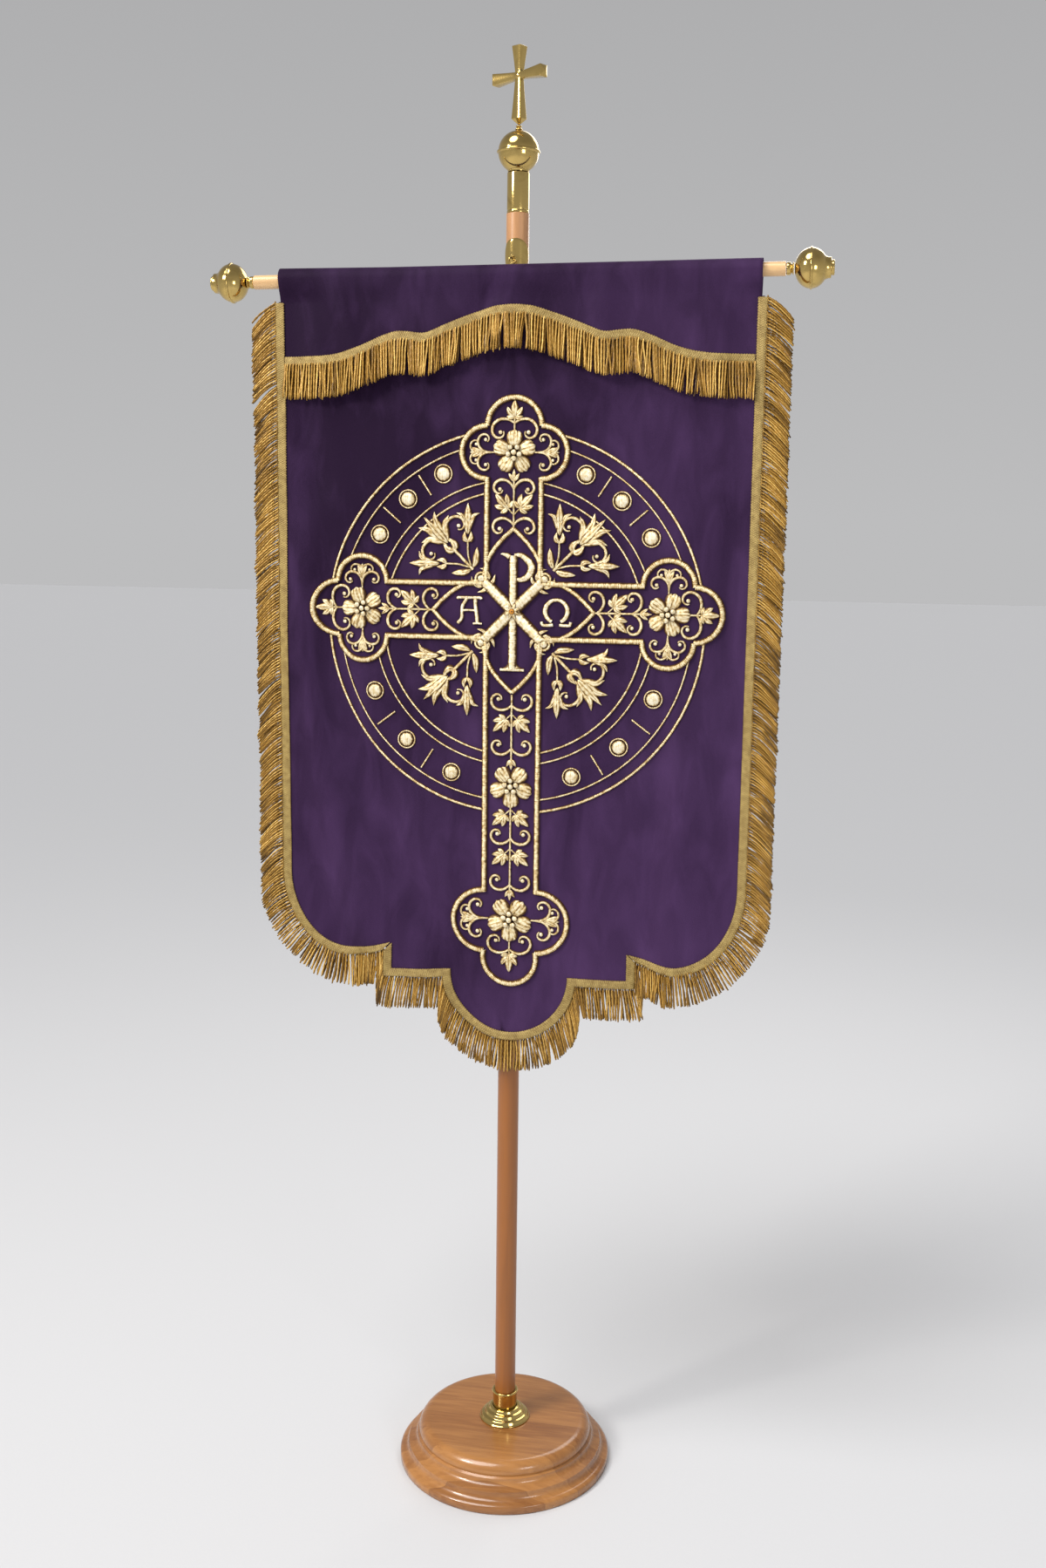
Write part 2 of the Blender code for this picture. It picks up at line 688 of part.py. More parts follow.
def comb(name, stations, bare=0):
    """A fringe: a woven heading along its stations, with a tooth of cords under each space between them.

    A station is its four points: the heading's two edges, then the cords' middle and tip. The first and
    last bare spaces have no tooth.
    """
    points, faces = [], []
    side = (1 - TOOTH_SHARE) / 2
    shares = (0.0, side, 1 - side)
    rails = []
    for here, there in zip(stations, stations[1:]):
        for share in shares:
            rails.append([mix(a, b, share) for a, b in zip(here, there)])
    rails.append(list(stations[-1]))
    for rail in rails:
        points.extend(rail)
    for i in range(len(rails) - 1):
        first, second = 4 * i, 4 * (i + 1)
        faces.append((first, first + 1, second + 1, second))
        if i % 3 == 1 and 3 * bare <= i < len(rails) - 1 - 3 * bare:
            faces.append((first + 1, first + 2, second + 2, second + 1))
            faces.append((first + 2, first + 3, second + 3, second + 2))
    item = add_mesh(name, points, faces, "gold_trim")
    add_solidify(item, FRINGE_THICK)


def on_rows(heights, depth_at, height):
    """Depth at this height on the straight lines between rows at these heights."""
    for above, below in zip(heights, heights[1:]):
        if height >= below:
            return depth_at(above) + (depth_at(below) - depth_at(above)) * (above - height) / (above - below)
    return depth_at(heights[-1])


def edge_station(side, part, share):
    """The four points of a station on the panel's edge; side is 1 right, -1 left."""
    places = [hem_point(part, share, reach) for reach in (0.0, HEADING, HEADING + CORD / 2, HEADING + CORD)]
    hem_away, hem_height = hem_point(part, share, PANEL_HEM)
    if part == "side":
        rows = [SEAM_HEIGHT + (CORNER_HEIGHT - SEAM_HEIGHT) * i / PANEL_ROWS for i in range(PANEL_ROWS + 1)]
        shown = on_rows(rows, lambda z: panel_y(CLOTH_X + side * HALF_WIDTH, z), places[0][1])
        hem = on_rows(rows, lambda z: panel_y(CLOTH_X + side * (HALF_WIDTH + PANEL_HEM), z), places[0][1])
    else:
        shown = panel_y(CLOTH_X + side * places[0][0], places[0][1])
        hem = panel_y(CLOTH_X + side * hem_away, hem_height)
    lift = FRINGE_LIFT + (SIDE_LIFT - FRINGE_LIFT) * ease((places[0][1] - UNDER_VALANCE) / 0.030)
    outer = shown + (hem - shown) * HEADING / PANEL_HEM
    depths = (shown, outer, outer, outer)
    return [(CLOTH_X + side * away, depth - lift, height) for (away, height), depth in zip(places, depths)]


def make_edge_fringes():
    for side, name in ((-1, "fringe_left"), (1, "fringe_right")):
        stations = [("side", i / SIDE_TEETH) for i in range(SIDE_TEETH)] + stretch("corner", "slope")[:-1]
        stations.append(("slope", MITRE_SHARE))
        places = [edge_station(side, *station) for station in stations]
        comb(name, places if side > 0 else places[::-1])
    stations = stretch("notch", "step", "lobe")
    right = [edge_station(1, *station) for station in stations]
    left = [edge_station(-1, *station) for station in stations[:-1]]
    comb("fringe_bottom", right + left[::-1], bare=LOWER_ROWS)


def make_valance_fringe():
    stations = []
    for x in reversed(valance_stations()):
        top = valance_low(x)
        shown, hem = valance_y(x, top), valance_y(x, top - PANEL_HEM)
        outer = shown + (hem - shown) * HEADING / PANEL_HEM
        station = []
        for reach in (0.0, HEADING, HEADING + CORD / 2, HEADING + CORD):
            station.append((x, (outer if reach else shown) - FRINGE_LIFT, top - reach))
        stations.append(station)
    comb("fringe_valance", stations)


def main():
    clear_scene()
    for name in ("church_banner", "cutters"):
        collection = bpy.data.collections.new(name)
        bpy.context.scene.collection.children.link(collection)
    make_base()
    make_socket()
    make_pole()
    make_ferrule()
    make_globe()
    make_cross_collar()
    make_cross()
    make_crossbar()
    make_bar_end("left", -1)
    make_bar_end("right", 1)
    make_plate()
    make_hook()
    make_eye()
    make_panel()
    make_valance()
    make_edge_fringes()
    make_valance_fringe()


main()
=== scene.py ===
"""A church banner: velvet with gold embroidery and bullion fringe, on a crossbar and a turned wooden stand.

Metres, +Z up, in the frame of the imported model: the origin is the middle of the base's underside, the
crossbar lies along X and the cloth faces -Y. Embroidery is laid out in millimetres from the cross's middle.
"""

import sys

import logging
import math
from collections.abc import Callable, Iterable, Sequence
from dataclasses import dataclass, field
from enum import Enum

import bmesh
import bpy
import numpy as np
from mathutils import Matrix, Vector

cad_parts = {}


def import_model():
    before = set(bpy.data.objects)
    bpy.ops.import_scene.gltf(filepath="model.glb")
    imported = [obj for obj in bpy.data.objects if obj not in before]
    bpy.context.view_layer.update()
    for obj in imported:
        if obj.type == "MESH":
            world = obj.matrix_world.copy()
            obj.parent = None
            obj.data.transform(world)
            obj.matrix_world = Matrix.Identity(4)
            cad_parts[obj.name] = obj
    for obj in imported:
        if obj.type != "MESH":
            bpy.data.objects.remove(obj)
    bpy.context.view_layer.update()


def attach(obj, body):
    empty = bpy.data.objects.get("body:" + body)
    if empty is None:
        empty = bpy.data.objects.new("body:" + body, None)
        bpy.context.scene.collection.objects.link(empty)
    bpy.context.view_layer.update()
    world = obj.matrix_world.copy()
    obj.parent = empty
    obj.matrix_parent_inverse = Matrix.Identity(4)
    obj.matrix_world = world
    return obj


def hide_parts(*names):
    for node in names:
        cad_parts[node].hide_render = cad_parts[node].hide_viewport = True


LOG = logging.getLogger("banner")
BODY = "root"
SEED = 41
MM = 0.001
WELD = 1e-6

Colour = tuple[float, float, float]
Point = tuple[float, float, float]
Profile = list[tuple[float, float]]
Item = bpy.types.Object
Finish = bpy.types.Material
Link = bpy.types.NodeSocket


# Shader writing


def operator(operation: str, reflected: bool = False) -> Callable:
    """A Python operator that adds a Math node, its two terms swapped if reflected.

    Args:
        operation: the Math node's operation.
        reflected: whether the number is the second term.

    Returns:
        The operator, to be set on the class.
    """

    def apply(number: "Number", other: "Number | float") -> "Number":
        """The node's result."""
        terms = (other, number) if reflected else (number, other)
        return number.recipe.maths(operation, *terms)

    return apply


class Number:
    """A number that changes over a surface, for use in Python expressions."""

    __add__ = __radd__ = operator("ADD")
    __sub__, __rsub__ = operator("SUBTRACT"), operator("SUBTRACT", reflected=True)
    __mul__ = __rmul__ = operator("MULTIPLY")
    __truediv__, __rtruediv__ = operator("DIVIDE"), operator("DIVIDE", reflected=True)

    def __init__(self, recipe: "Recipe", socket: Link) -> None:
        """Keeps the recipe that makes further nodes and the socket that gives the number."""
        self.recipe = recipe
        self.socket = socket

    def call(self, operation: str, *others: "Number | float") -> "Number":
        """Result of a Math node's operation, such as SINE or ABSOLUTE."""
        return self.recipe.maths(operation, self, *others)

    def clamped(self) -> "Number":
        """The number held between 0 and 1."""
        return self.call("MAXIMUM", 0.0).call("MINIMUM", 1.0)

    def between(self, low: float, high: float) -> "Number":
        """Share of the way from low to high, held between 0 and 1."""
        return ((self - low) / (high - low)).clamped()


class NodeWriter:
    """Adds nodes to its tree."""

    tree: bpy.types.NodeTree

    def node(self, kind: str, settings: dict | None = None, inputs: dict | None = None) -> bpy.types.Node:
        """Adds a node.

        Args:
            kind: the node's type.
            settings: its properties, set first; "stops" are a ramp's (place, colour) pairs.
            inputs: values, links or nodes for its sockets, by name or by index.

        Returns:
            The new node.
        """
        made = self.tree.nodes.new(kind)
        for name, value in (settings or {}).items():
            if name == "stops":
                self.set_stops(made.color_ramp, value)
            else:
                setattr(made, name, value)
        for name, value in (inputs or {}).items():
            source = value.outputs[0] if isinstance(value, bpy.types.Node) else value
            source = source.socket if isinstance(source, Number) else source
            if isinstance(source, Link):
                self.tree.links.new(source, made.inputs[name])
            else:
                made.inputs[name].default_value = source
        return made

    def set_stops(self, ramp: bpy.types.ColorRamp, stops: Sequence[tuple[float, Colour]]) -> None:
        """Gives a ramp its stops."""
        while len(ramp.elements) < len(stops):
            ramp.elements.new(1.0)
        for element, (place, colour) in zip(ramp.elements, stops):
            element.position = place
            element.color = (*colour, 1.0)


class Recipe(NodeWriter):
    """Builds one procedural material."""

    def __init__(self, name: str) -> None:
        """Starts an empty material of this name."""
        self.material = bpy.data.materials.new(name)
        self.material.use_nodes = True
        self.tree = self.material.node_tree
        self.tree.nodes.clear()

    def maths(self, operation: str, *terms: "Number | float") -> Number:
        """Result of a Math node on these terms."""
        made = self.node("ShaderNodeMath", {"operation": operation}, dict(enumerate(terms)))
        return Number(self, made.outputs[0])

    def place(self) -> Link:
        """Object coordinates, in metres."""
        return self.node("ShaderNodeTexCoord").outputs["Object"]

    def scaled(self, factors: Point) -> Link:
        """Object coordinates times these factors."""
        made = self.node("ShaderNodeVectorMath", {"operation": "MULTIPLY"}, {0: self.place(), 1: factors})
        return made.outputs[0]

    def stored(self, name: str) -> Link:
        """A mesh attribute as a vector."""
        return self.node("ShaderNodeAttribute", {"attribute_name": name}).outputs["Vector"]

    def parts(self, vector: Link) -> tuple[Number, Number, Number]:
        """The three numbers of a vector."""
        made = self.node("ShaderNodeSeparateXYZ", None, {0: vector})
        return tuple(Number(self, made.outputs[i]) for i in range(3))

    def joined(self, *terms: "Number | float") -> Link:
        """A vector of three numbers."""
        return self.node("ShaderNodeCombineXYZ", None, dict(enumerate(terms))).outputs[0]

    def noise(self, vector: Link, scale: float, detail: float = 3.0, twist: float = 0.0) -> Number:
        """Soft noise from 0 to 1 at this scale."""
        inputs = {"Vector": vector, "Scale": scale, "Detail": detail, "Distortion": twist}
        return Number(self, self.node("ShaderNodeTexNoise", None, inputs).outputs[0])

    def blend(self, first: object, second: object, share: "Number | float") -> Link:
        """A colour between two colours.

        Args:
            first: a colour or a link, at share 0.
            second: a colour or a link, at share 1.
            share: how much of the second.

        Returns:
            The link that gives the colour.
        """
        first = (*first, 1.0) if isinstance(first, tuple) else first
        second = (*second, 1.0) if isinstance(second, tuple) else second
        made = self.node("ShaderNodeMix", {"data_type": "RGBA"}, {0: share, 6: first, 7: second})
        return made.outputs[2]

    def ramp(self, share: Number, *stops: tuple[float, Colour]) -> Link:
        """A colour read from stops."""
        return self.node("ShaderNodeValToRGB", {"stops": stops}, {0: share}).outputs[0]

    def bump(self, height: Number, distance: float) -> Link:
        """A normal raised by height times distance."""
        return self.node("ShaderNodeBump", None, {"Height": height, "Distance": distance}).outputs[0]

    def finish(self, **sockets: object) -> Finish:
        """Ends the recipe in a Principled shader with these sockets, spaces written as underscores."""
        named = {name.replace("_", " "): value for name, value in sockets.items()}
        shader = self.node("ShaderNodeBsdfPrincipled", None, named)
        self.node("ShaderNodeOutputMaterial", None, {"Surface": shader.outputs[0]})
        return self.material


# Finishes


@dataclass(frozen=True)
class Velvet:
    """Purple velvet whose pile lies unevenly, so it shows lighter crush marks; painted light makes it darker
    at the top and left and lighter lower down and to the right.
    """

    deep: Colour = (0.0160, 0.0054, 0.0232)
    light: Colour = (0.0690, 0.0315, 0.0980)
    tint: Colour = (0.55, 0.38, 0.66)

    def material(self) -> Finish:
        """The cloth's material."""
        recipe = Recipe("velvet")
        broad = recipe.noise(recipe.scaled((1.0, 1.0, 0.55)), 5.5, 2.0)
        brushed = recipe.noise(recipe.scaled((1.0, 1.0, 0.35)), 26.0, 4.0, 0.6)
        pile = recipe.noise(recipe.place(), 900.0, 2.0)
        across, _, height = recipe.parts(recipe.place())
        lean = broad.between(0.36, 0.66) * 0.45 + brushed.between(0.40, 0.72) * 0.34
        # painted light: the across and height terms make the velvet lighter to the right and lower down,
        # darker at the top left
        lean = lean + across.between(-0.25, 0.40) * 0.46 + (1.0 - height.between(1.00, 1.85)) * 0.38
        lean = lean + (pile - 0.5) * 0.30 - 0.34
        colour = recipe.blend(self.deep, self.light, lean.clamped())
        return recipe.finish(
            Base_Color=colour,
            Roughness=0.62,
            Specular_IOR_Level=0.08,
            Sheen_Weight=0.13,
            Sheen_Roughness=0.34,
            Sheen_Tint=(*self.tint, 1.0),
            Normal=recipe.bump(pile * 0.5 + brushed, 0.0007),
        )


class StitchKind(Enum):
    """Which way a satin shape's stitches run: straight across it, slanted, or along it."""

    ACROSS = 0.0
    SLANTED = 0.9
    LENGTHWISE = None


@dataclass(frozen=True)
class GoldSatin:
    """Gold thread laid in padded satin stitches, with painted shade at each shape's edges; reads the piece's
    own thread attribute.
    """

    kind: StitchKind
    light: Colour = (1.00, 0.88, 0.57)
    middle: Colour = (0.60, 0.385, 0.115)
    shadow: Colour = (0.105, 0.045, 0.010)
    pitch: float = 0.00085
    dots: float = 0.0
    brass: float = 0.30

    def material(self) -> Finish:
        """The embroidery's material for this kind of stitch."""
        recipe = Recipe("gold_satin_" + self.kind.name.lower() + ("_dotted" if self.dots else ""))
        along, across, offset = recipe.parts(recipe.stored("thread"))
        edge = across.call("ABSOLUTE")
        course = offset if self.kind is StitchKind.LENGTHWISE else along + edge * (self.kind.value * 0.004)
        turns = course * (math.tau / self.pitch)
        strand = turns.call("SINE") * 0.5 + 0.5
        uneven = recipe.noise(recipe.joined(course * 900.0, across * 0.6, along * 90.0), 1.0, 3.0)
        # random patches of tone, partly wear and partly painted sheen
        wear_and_sheen = recipe.noise(recipe.place(), 210.0, 3.0)
        tone = uneven.between(0.30, 0.70) * 0.58 + strand * 0.26 + wear_and_sheen.between(0.38, 0.62) * 0.40
        # painted shade: each satin shape is darkened towards its edges, where it dips to the cloth and meets
        # its neighbours
        tone = tone - edge.between(0.46, 0.96) * 1.05
        if self.kind is StitchKind.LENGTHWISE:
            # painted shade: lengthwise shapes are darkened along their creased middle
            tone = tone - (1.0 - edge.between(0.02, 0.20)) * 0.42
        if self.dots:
            beat = (along * (math.tau / self.dots)).call("SINE").between(0.15, 0.75)
            lane = 1.0 - (edge - 0.50).call("ABSOLUTE").between(0.06, 0.30)
            tone = tone - beat * lane * 0.55
        colour = recipe.ramp(tone.clamped(), (0.0, self.shadow), (0.34, self.middle), (0.80, self.light))
        return recipe.finish(
            Base_Color=colour,
            Metallic=self.brass,
            Roughness=uneven * 0.18 + 0.27,
            Normal=recipe.bump(strand * 0.7 + uneven * 0.6, 0.00022),
        )


@dataclass(frozen=True)
class BullionGold:
    """Twisted gold cord; reads the cord's along and around attributes, and the stored shade that paints the
    rear row darker.
    """

    light: Colour = (0.95, 0.64, 0.19)
    middle: Colour = (0.47, 0.245, 0.032)
    shadow: Colour = (0.040, 0.018, 0.003)
    twists: float = 640.0

    def material(self) -> Finish:
        """The fringe cords' material."""
        recipe = Recipe("bullion_gold")
        along, shade, _ = recipe.parts(recipe.stored("along"))
        east, north, _ = recipe.parts(recipe.stored("around"))
        turn = north.call("ARCTAN2", east)
        strand = (turn * 2.0 + along * self.twists).call("SINE") * 0.5 + 0.5
        patch = recipe.noise(recipe.place(), 34.0, 2.0)
        # the stored shade multiplies the tone: random from cord to cord, and painted shade that darkens the
        # rear row
        tone = (strand * 0.62 + patch.between(0.30, 0.70) * 0.20 + 0.12) * (shade * 1.00 + 0.17)
        colour = recipe.ramp(tone.clamped(), (0.0, self.shadow), (0.45, self.middle), (0.95, self.light))
        return recipe.finish(
            Base_Color=colour,
            Metallic=0.25,
            Roughness=0.40,
            Normal=recipe.bump(strand, 0.0005),
        )


@dataclass(frozen=True)
class WovenGold:
    """The fringe's heading: a narrow braid with a zigzag of gold thread; reads the thread attribute."""

    light: Colour = (0.58, 0.42, 0.14)
    shadow: Colour = (0.17, 0.095, 0.020)
    pitch: float = 0.0034
    zigzag: float = 0.0065
    pick: float = 0.0016

    def material(self) -> Finish:
        """The heading's material."""
        recipe = Recipe("woven_gold")
        along, across, offset = recipe.parts(recipe.stored("thread"))
        sway = (offset * (math.tau / self.zigzag)).call("SINE") * 0.0011
        ribs = ((along + sway) * (math.tau / self.pitch)).call("SINE") * 0.5 + 0.5
        picks = (offset * (math.tau / self.pick)).call("SINE") * 0.5 + 0.5
        patch = recipe.noise(recipe.place(), 120.0, 3.0)
        tone = ribs * 0.36 + picks * 0.22 + patch.between(0.3, 0.7) * 0.42
        tone = tone - across.call("ABSOLUTE").between(0.80, 1.0) * 0.30
        return recipe.finish(
            Base_Color=recipe.blend(self.shadow, self.light, tone.clamped()),
            Metallic=0.28,
            Roughness=0.46,
            Normal=recipe.bump(ribs * 0.6 + picks * 0.5, 0.0005),
        )


@dataclass(frozen=True)
class Brass:
    """Polished brass with faint handling marks."""

    colour: Colour = (0.64, 0.455, 0.155)
    dull: Colour = (0.42, 0.285, 0.09)

    def material(self) -> Finish:
        """The metal fittings' material."""
        recipe = Recipe("polished_brass")
        haze = recipe.noise(recipe.place(), 38.0, 4.0, 0.8)
        fine = recipe.noise(recipe.scaled((1.0, 1.0, 9.0)), 260.0, 2.0)
        return recipe.finish(
            Base_Color=recipe.blend(self.colour, self.dull, haze.between(0.50, 0.86)),
            Metallic=1.0,
            Roughness=haze * 0.09 + fine * 0.05 + 0.055,
            Normal=recipe.bump(fine, 0.00002),
        )


@dataclass(frozen=True)
class GluedBoards:
    """Lacquered beech boards glued side by side along Y, each with its own tone, grain along X."""

    pale: Colour = (0.43, 0.190, 0.054)
    warm: Colour = (0.215, 0.076, 0.017)
    board: float = 0.046
    offset: float = 0.013

    def material(self) -> Finish:
        """The turned base's material."""
        recipe = Recipe("glued_boards")
        _, away, _ = recipe.parts(recipe.place())
        number = ((away + self.offset) / self.board).call("FLOOR")
        random = recipe.node("ShaderNodeTexWhiteNoise", {"noise_dimensions": "1D"}, {"W": number + 7.0})
        tone = Number(recipe, random.outputs[0])
        seam = ((away + self.offset) / self.board).call("PINGPONG", 0.5).call("ABSOLUTE")
        joint = 1.0 - seam.between(0.0, 0.014)
        terms = {0: recipe.scaled((5.0, 60.0, 60.0)), 1: recipe.joined(number * 3.7, 0.0, 0.0)}
        shifted = recipe.node("ShaderNodeVectorMath", {"operation": "ADD"}, terms)
        grain = recipe.noise(shifted.outputs[0], 1.6, 5.0, 1.2)
        fleck = recipe.noise(recipe.scaled((60.0, 420.0, 420.0)), 1.0, 2.0)
        share = grain.between(0.30, 0.72) * 0.55 + tone * 0.66 - 0.16 + fleck.between(0.62, 0.80) * 0.25
        colour = recipe.blend(self.pale, self.warm, share.clamped())
        colour = recipe.blend(colour, (0.16, 0.065, 0.02), joint * 0.45)
        return recipe.finish(
            Base_Color=colour,
            Roughness=grain * 0.08 + 0.22,
            Coat_Weight=0.40,
            Coat_Roughness=0.09,
            Normal=recipe.bump(grain + fleck * 0.3, 0.00012),
        )


@dataclass(frozen=True)
class TurnedBeech:
    """Lacquered beech, its grain along one axis; paler and pinker above the cloth than below."""

    name: str
    stretch: Point
    low: Colour = (0.32, 0.108, 0.018)
    high: Colour = (0.66, 0.345, 0.155)
    dark: Colour = (0.21, 0.072, 0.018)

    def material(self) -> Finish:
        """The pole's or the crossbar's material."""
        recipe = Recipe(self.name)
        grain = recipe.noise(recipe.scaled(self.stretch), 3.0, 5.0, 0.8)
        fleck = recipe.noise(recipe.scaled(tuple(7.0 * part for part in self.stretch)), 1.0, 2.0)
        _, _, height = recipe.parts(recipe.place())
        colour = recipe.blend(self.low, self.high, height.between(1.4, 1.95))
        share = grain.between(0.36, 0.74) * 0.50 + fleck.between(0.60, 0.82) * 0.30
        return recipe.finish(
            Base_Color=recipe.blend(colour, self.dark, share.clamped()),
            Roughness=grain * 0.10 + 0.26,
            Coat_Weight=0.20,
            Coat_Roughness=0.12,
            Normal=recipe.bump(grain, 0.00010),
        )


@dataclass(frozen=True)
class PaleFloor:
    """Plain matt studio paper."""

    colour: Colour = (0.64, 0.64, 0.65)

    def material(self) -> Finish:
        """The floor's material."""
        recipe = Recipe("studio_paper")
        fibre = recipe.noise(recipe.place(), 300.0, 2.0)
        shade = recipe.blend(self.colour, tuple(part * 0.97 for part in self.colour), fibre)
        return recipe.finish(Base_Color=shade, Roughness=0.75, Normal=recipe.bump(fibre, 0.0001))


# Meshes


def added(name: str, data: bpy.types.ID) -> Item:
    """A new object of this name and data, in the scene."""
    item = bpy.data.objects.new(name, data)
    bpy.context.scene.collection.objects.link(item)
    return item


@dataclass
class Shape:
    """Points and faces of one piece, gathered part by part, with a thread value for each point."""

    points: list = field(default_factory=list)
    faces: list = field(default_factory=list)
    threads: list = field(default_factory=list)
    count: int = 0

    def add(
        self, points: np.ndarray, faces: Iterable[Sequence[int]], threads: np.ndarray | None = None
    ) -> None:
        """Adds a part.

        Args:
            points: its points, one row each.
            faces: its faces, numbered from its own first point.
            threads: a row of three numbers for each point, or None.
        """
        points = np.asarray(points, float).reshape(-1, 3)
        self.points.append(points)
        self.faces += [tuple(self.count + i for i in face) for face in faces]
        self.threads.append(
            np.zeros_like(points) if threads is None else np.asarray(threads, float).reshape(-1, 3)
        )
        self.count += len(points)

    def piece(self, name: str, sharp: float = 40.0, merge: float = 0.0, turn_out: bool = True) -> Item:
        """Makes the gathered parts one object.

        Args:
            name: the object's name.
            sharp: the angle in degrees past which an edge is shaded sharp.
            merge: how near points are to be made one, in metres.
            turn_out: whether the faces are turned outward here.

        Returns:
            The new object.
        """
        mesh = bpy.data.meshes.new(name)
        mesh.from_pydata(np.concatenate(self.points).tolist(), [], self.faces)
        stored = mesh.attributes.new("thread", "FLOAT_VECTOR", "POINT")
        stored.data.foreach_set("vector", np.concatenate(self.threads).astype(np.float32).ravel())
        if merge or turn_out:
            work = bmesh.new()
            work.from_mesh(mesh)
            if merge:
                bmesh.ops.remove_doubles(work, verts=work.verts, dist=merge)
            if turn_out:
                bmesh.ops.recalc_face_normals(work, faces=work.faces)
            work.to_mesh(mesh)
            work.free()
        mesh.shade_smooth()
        mesh.set_sharp_from_angle(angle=math.radians(sharp))
        return added(name, mesh)


def grid_faces(
    rows: int, columns: int, round_rows: bool = False, round_columns: bool = False
) -> list[tuple[int, ...]]:
    """Faces of a grid of points, rows by columns, which may close on itself either way.

    Args:
        rows: how many rows of points.
        columns: how many points in a row.
        round_rows: whether the last row joins the first.
        round_columns: whether each row closes on itself.

    Returns:
        The faces, numbered row by row.
    """
    faces = []
    for i in range(rows if round_rows else rows - 1):
        for j in range(columns if round_columns else columns - 1):
            following, beside = (i + 1) % rows, (j + 1) % columns
            faces.append(
                (i * columns + j, i * columns + beside, following * columns + beside, following * columns + j)
            )
    return faces


def tube_faces(rows: int, columns: int) -> list[tuple[int, ...]]:
    """Faces of a grid that closes round its columns, with a cap on each end.

    Args:
        rows: how many rings of points.
        columns: how many points in a ring.

    Returns:
        The faces, numbered ring by ring.
    """
    last = (rows - 1) * columns
    return [
        *grid_faces(rows, columns, round_columns=True), tuple(range(columns)),
        tuple(range(last, last + columns))
    ]


def triangles(item: Item) -> int:
    """How many triangles the object has with its modifiers on.

    Args:
        item: the object.

    Returns:
        The number of its triangles.
    """
    shown = item.evaluated_get(bpy.context.evaluated_depsgraph_get())
    mesh = shown.to_mesh()
    mesh.calc_loop_triangles()
    count = len(mesh.loop_triangles)
    shown.to_mesh_clear()
    return count


def dress(item: Item, material: Finish, replaced: Sequence[str] = ()) -> Item:
    """Gives a finished piece its material and its body, and hides the CAD nodes that it stands for.

    Args:
        item: the piece.
        material: its material.
        replaced: the CAD nodes it stands for.

    Returns:
        The same piece.
    """
    item.data.materials.clear()
    item.data.materials.append(material)
    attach(item, BODY)
    if replaced:
        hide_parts(*replaced)
    LOG.info("%s: %d triangles", item.name, triangles(item))
    return item


def rounded(profile: Profile, radius: float, pieces: int = 3) -> Profile:
    """The profile with each inner corner eased over up to this radius.

    Args:
        profile: (radius, height) points.
        radius: how far from a corner the easing starts.
        pieces: how many edges ease each corner.

    Returns:
        The eased profile.
    """
    found = [profile[0]]
    for before, corner, after in zip(profile, profile[1:], profile[2:]):
        here, back, ahead = np.array(corner), np.array(before), np.array(after)
        start = here + (back - here) * min(0.45, radius / max(np.linalg.norm(back - here), 1e-9))
        end = here + (ahead - here) * min(0.45, radius / max(np.linalg.norm(ahead - here), 1e-9))
        for share in np.linspace(0.0, 1.0, pieces + 1):
            eased = start * (1 - share) ** 2 + here * (2 * share * (1 - share)) + end * share**2
            found.append(tuple(eased))
    return [*found, profile[-1]]


def arc(
    middle: tuple[float, float], radii: tuple[float, float], start: float, end: float, steps: int
) -> Profile:
    """Points of an ellipse's arc about middle; angles in degrees, 0 outward and 90 up."""
    angles = np.radians(np.linspace(start, end, steps + 1))
    return [(middle[0] + radii[0] * math.cos(a), middle[1] + radii[1] * math.sin(a)) for a in angles]


def lathe(profile: Profile, steps: int = 96, closed: bool = False) -> Shape:
    """A shape turned about Z.

    Args:
        profile: (radius, height) points that run down the outer side.
        steps: how many sides it has.
        closed: whether the last point joins the first.

    Returns:
        The turned shape.
    """
    angles = np.arange(steps) * math.tau / steps
    radius = np.array([p[0] for p in profile])[:, None]
    height = np.repeat(np.array([p[1] for p in profile])[:, None], steps, axis=1)
    points = np.stack([radius * np.cos(angles), radius * np.sin(angles), height], axis=-1)
    shape = Shape()
    shape.add(points, grid_faces(len(profile), steps, round_rows=closed, round_columns=True))
    return shape


def sweep(path: Sequence[Point], radius: float, sides: int = 14, smooth: int = 4) -> Shape:
    """A round wire along a path in the plane X = const or Y = const, with closed ends.

    Args:
        path: the points it follows.
        radius: the wire's radius.
        sides: how many sides it has.
        smooth: pieces between one point and the next.

    Returns:
        The wire.
    """
    line = through(np.array(path, float), smooth)
    forward = np.gradient(line, axis=0)
    forward /= np.linalg.norm(forward, axis=1)[:, None]
    flat = np.ptp(line, axis=0).argmin()
    side = np.zeros(3)
    side[flat] = 1.0
    lift = np.cross(forward, side)
    angles = np.arange(sides) * math.tau / sides
    rings = line[:, None, :] + radius * (
        side[None, None, :] * np.cos(angles)[None, :, None] + lift[:, None, :] * np.sin(angles)[None, :, None]
    )
    shape = Shape()
    shape.add(rings, tube_faces(len(line), sides))
    return shape


def through(points: np.ndarray, pieces: int) -> np.ndarray:
    """A smooth line through these points, with this many pieces between one and the next.

    Args:
        points: the points, one row each.
        pieces: how many edges lie between two points.

    Returns:
        The points of the line.
    """
    ends = np.vstack([2 * points[0] - points[1], points, 2 * points[-1] - points[-2]])
    found = []
    for i in range(len(points) - 1):
        a, b, c, d = ends[i : i + 4]
        for t in np.arange(pieces) / pieces:
            bend = (2 * a - 5 * b + 4 * c - d) * t**2 + (3 * b - a - 3 * c + d) * t**3
            found.append(0.5 * (2 * b + (c - a) * t + bend))
    return np.array([*found, points[-1]])


def unit(degrees: float) -> complex:
    """The direction at this angle, as a complex number."""
    return np.exp(1j * math.radians(degrees))


